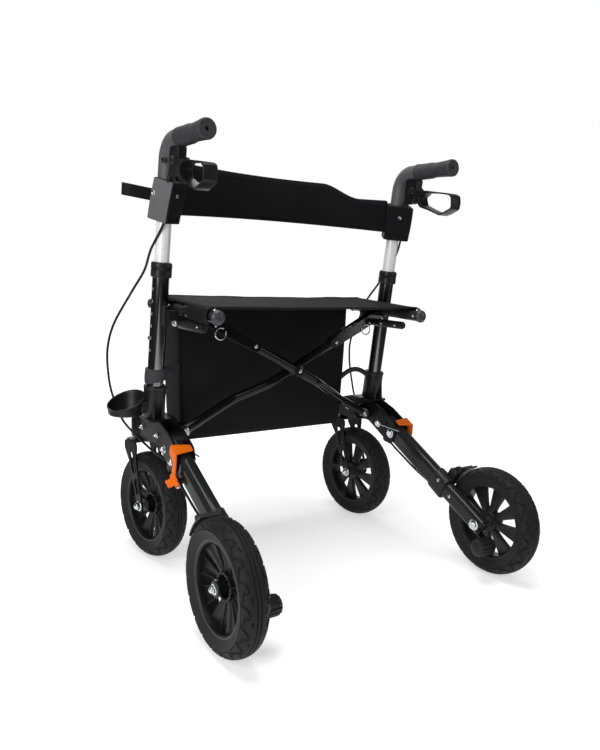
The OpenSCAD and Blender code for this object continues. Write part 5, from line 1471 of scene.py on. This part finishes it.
def bag_ring(share, inset):
    """One level of the bag from its floor, 0, to its mouth, 1: a rounded box whose sides give and crease."""
    z = BAG_LOW + share * (BAG_TOP - BAG_LOW)
    narrow = 10 * (1 - share) ** 1.5
    half, back, front = BAG_HALF - narrow - inset, BAG_BACK + inset, BAG_FRONT - inset - narrow
    outline = fillet([(half, back, 16), (half, front, 26), (-half, front, 26), (-half, back, 16)],
                     CORNER_POINTS - 1)
    dense = []
    for i, (a, b) in enumerate(zip(outline, outline[1:] + outline[:1])):
        steps = (14, 64)[i // CORNER_POINTS % 2] if i % CORNER_POINTS == CORNER_POINTS - 1 else 1
        dense += [(a[0] + (b[0] - a[0]) * k / steps, a[1] + (b[1] - a[1]) * k / steps) for k in range(steps)]
    ring = []
    for x, y in dense:
        edge = min(1.0, (BAG_HALF - abs(x)) / 50)
        belly = math.sin(math.pi * min(1, share * 1.05)) * edge
        drape = 4.2 * noise.noise(Vector((x / 75, share * 1.3, 3.1)))
        drape += 1.4 * noise.noise(Vector((x / 26, share * 2.2, 7.7)))
        bulge = 2.2 if y > BAG_MIDDLE else -2.2
        sag = 3.5 * (1 - (x / BAG_HALF) ** 2) * share
        ring.append((x + BAG_SHIFT, y + bulge * belly + drape * belly * 0.8, z - sag))
    return ring


def bag_shell():
    """The bag as a lofted shell with a sagging floor."""
    outer = [bag_ring(s, 0) for s in np.linspace(0.03, 1, 44)]
    inner = [bag_ring(s, 2.2) for s in np.linspace(1, 0.05, 30)]
    floor_rings = []
    for shrink in (0.0, 0.35, 0.7, 0.9):
        floor_z = BAG_LOW + 3 * (1 - math.sin(math.pi * (1 - shrink) / 2)) - 2 * shrink
        floor_rings.append([(x * (1 - shrink), y + (BAG_MIDDLE - y) * shrink, floor_z)
                            for x, y, z in bag_ring(0.03, 3)])
    lining = [[(x, y, z + 3.5) for x, y, z in ring] for ring in floor_rings]
    return loft([*reversed(floor_rings), *outer, *inner, *lining])


bag = piece("bag_shell", bag_shell(), bag_cloth, sharp=60)
mouth = bag_ring(1, 1)
bag_rim = piece("bag_binding", sweep(mouth, 2.6, 10, closed=True), binding_black)
rear_path = [(x, y - 1.6, z - 14) for x, y, z in mouth if y < BAG_BACK + 8 and abs(x) < BAG_HALF - 8]
rear_path.sort()
bag_seams = piece("bag_stitching", stitches(rear_path), thread_black)
for made in (bag, bag_rim, bag_seams):
    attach(made, "left_frame")
    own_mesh(made)
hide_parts("bag")
STRAP_LOW, STRAP_HIGH = 76, 104
BOW_FROM = Vector((205, 202, 366))
BOW_TO = Vector((292, 177, 368))
BOW_RISE = 25
BOW_R = 6.2
strap_cloth = canvas("bag_strap_cloth", (0.05, 0.05, 0.054), 0.9, 0.06, 0.55, 0.03)


def strap_sleeve():
    """A strap of cloth sewn round the upright, its lower edge cut on the slant."""
    turns = np.linspace(0, 2 * math.pi, 48, endpoint=False)
    rings = []
    for share, radius in ((0, 17.2), (0, 19.4), (0.03, 21.6), (0.3, 22.6), (0.7, 22.6), (0.97, 21.6),
                          (1, 19.4), (1, 17.2)):
        ring = []
        for t in turns:
            low = STRAP_LOW - 5 * math.cos(t - 0.6)
            height = low + share * (STRAP_HIGH - low)
            ring.append(on_upright(height, radius * math.cos(t), radius * math.sin(t)))
        rings.append(ring)
    return hollow(rings)


tongue_corners = [(205, 200.5, 1), (205, 203.5, 1), (282, 184, 1), (286, 178, 1)]
tongue = plate(fillet(tongue_corners), [], 411, 424, bevel=0.5, plane="XY")
bow = []
for t in np.linspace(0, 1, 25):
    bow.append(BOW_FROM.lerp(BOW_TO, t) + Vector((0, 0, BOW_RISE * math.sin(math.pi * t))))
straps = {"left": joined(strap_sleeve(), tongue), "right": sweep(bow, BOW_R, 18)}
for name, side in SIDES:
    made = piece(f"{name}_bag_strap", mirrored(straps[name], side), strap_cloth)
    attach(made, f"{name}_frame")


# Cane cup: a round cup of black plastic held against the left foot socket by a short arm.
# Its wall tapers to the floor, and its rim is cut on the slant, higher beside the socket.
CUP = Vector((-348, 189, 325.5))
RIM_MIDDLE = 356
RIM_SLOPE = Vector((0.384, 0.208))


def cup_ring(radius, share, lift):
    """A ring of the cup, at a share of the way from its floor to its slanted rim."""
    ring = []
    for a in np.linspace(0, 2 * math.pi, 72, endpoint=False):
        x, y = radius * math.cos(a), radius * math.sin(a)
        rim_height = RIM_MIDDLE + RIM_SLOPE.x * x + RIM_SLOPE.y * y - CUP.z
        ring.append((CUP.x + x, CUP.y + y, CUP.z + share * rim_height + lift))
    return ring


cup_steps = ((4, 0, 0.4), (28, 0, 0), (33, 0.02, 0.4), (35.6, 0.2, 0), (37, 0.8, 0), (37.4, 0.92, 0),
             (38.4, 0.95, 0), (38.6, 1, 0), (37.6, 1.01, 0.6), (36, 1, 0), (35.4, 0.9, 0), (34, 0.3, 0.6),
             (31, 0.1, 1.8), (26, 0.04, 2.6), (4.5, 0.04, 2.4))
cup = loft([cup_ring(*step) for step in cup_steps])
arm_corners = [(-328, 160, 4), (-304, 158, 3), (-304, 190, 3), (-322, 192, 5)]
cup_arm = plate(fillet(arm_corners), [], 334, 356, bevel=2, plane="XY")
cane_cup = piece("cane_cup_bowl", joined(cup, cup_arm), satin_black)
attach(cane_cup, "left_frame")
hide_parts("cane_cup")
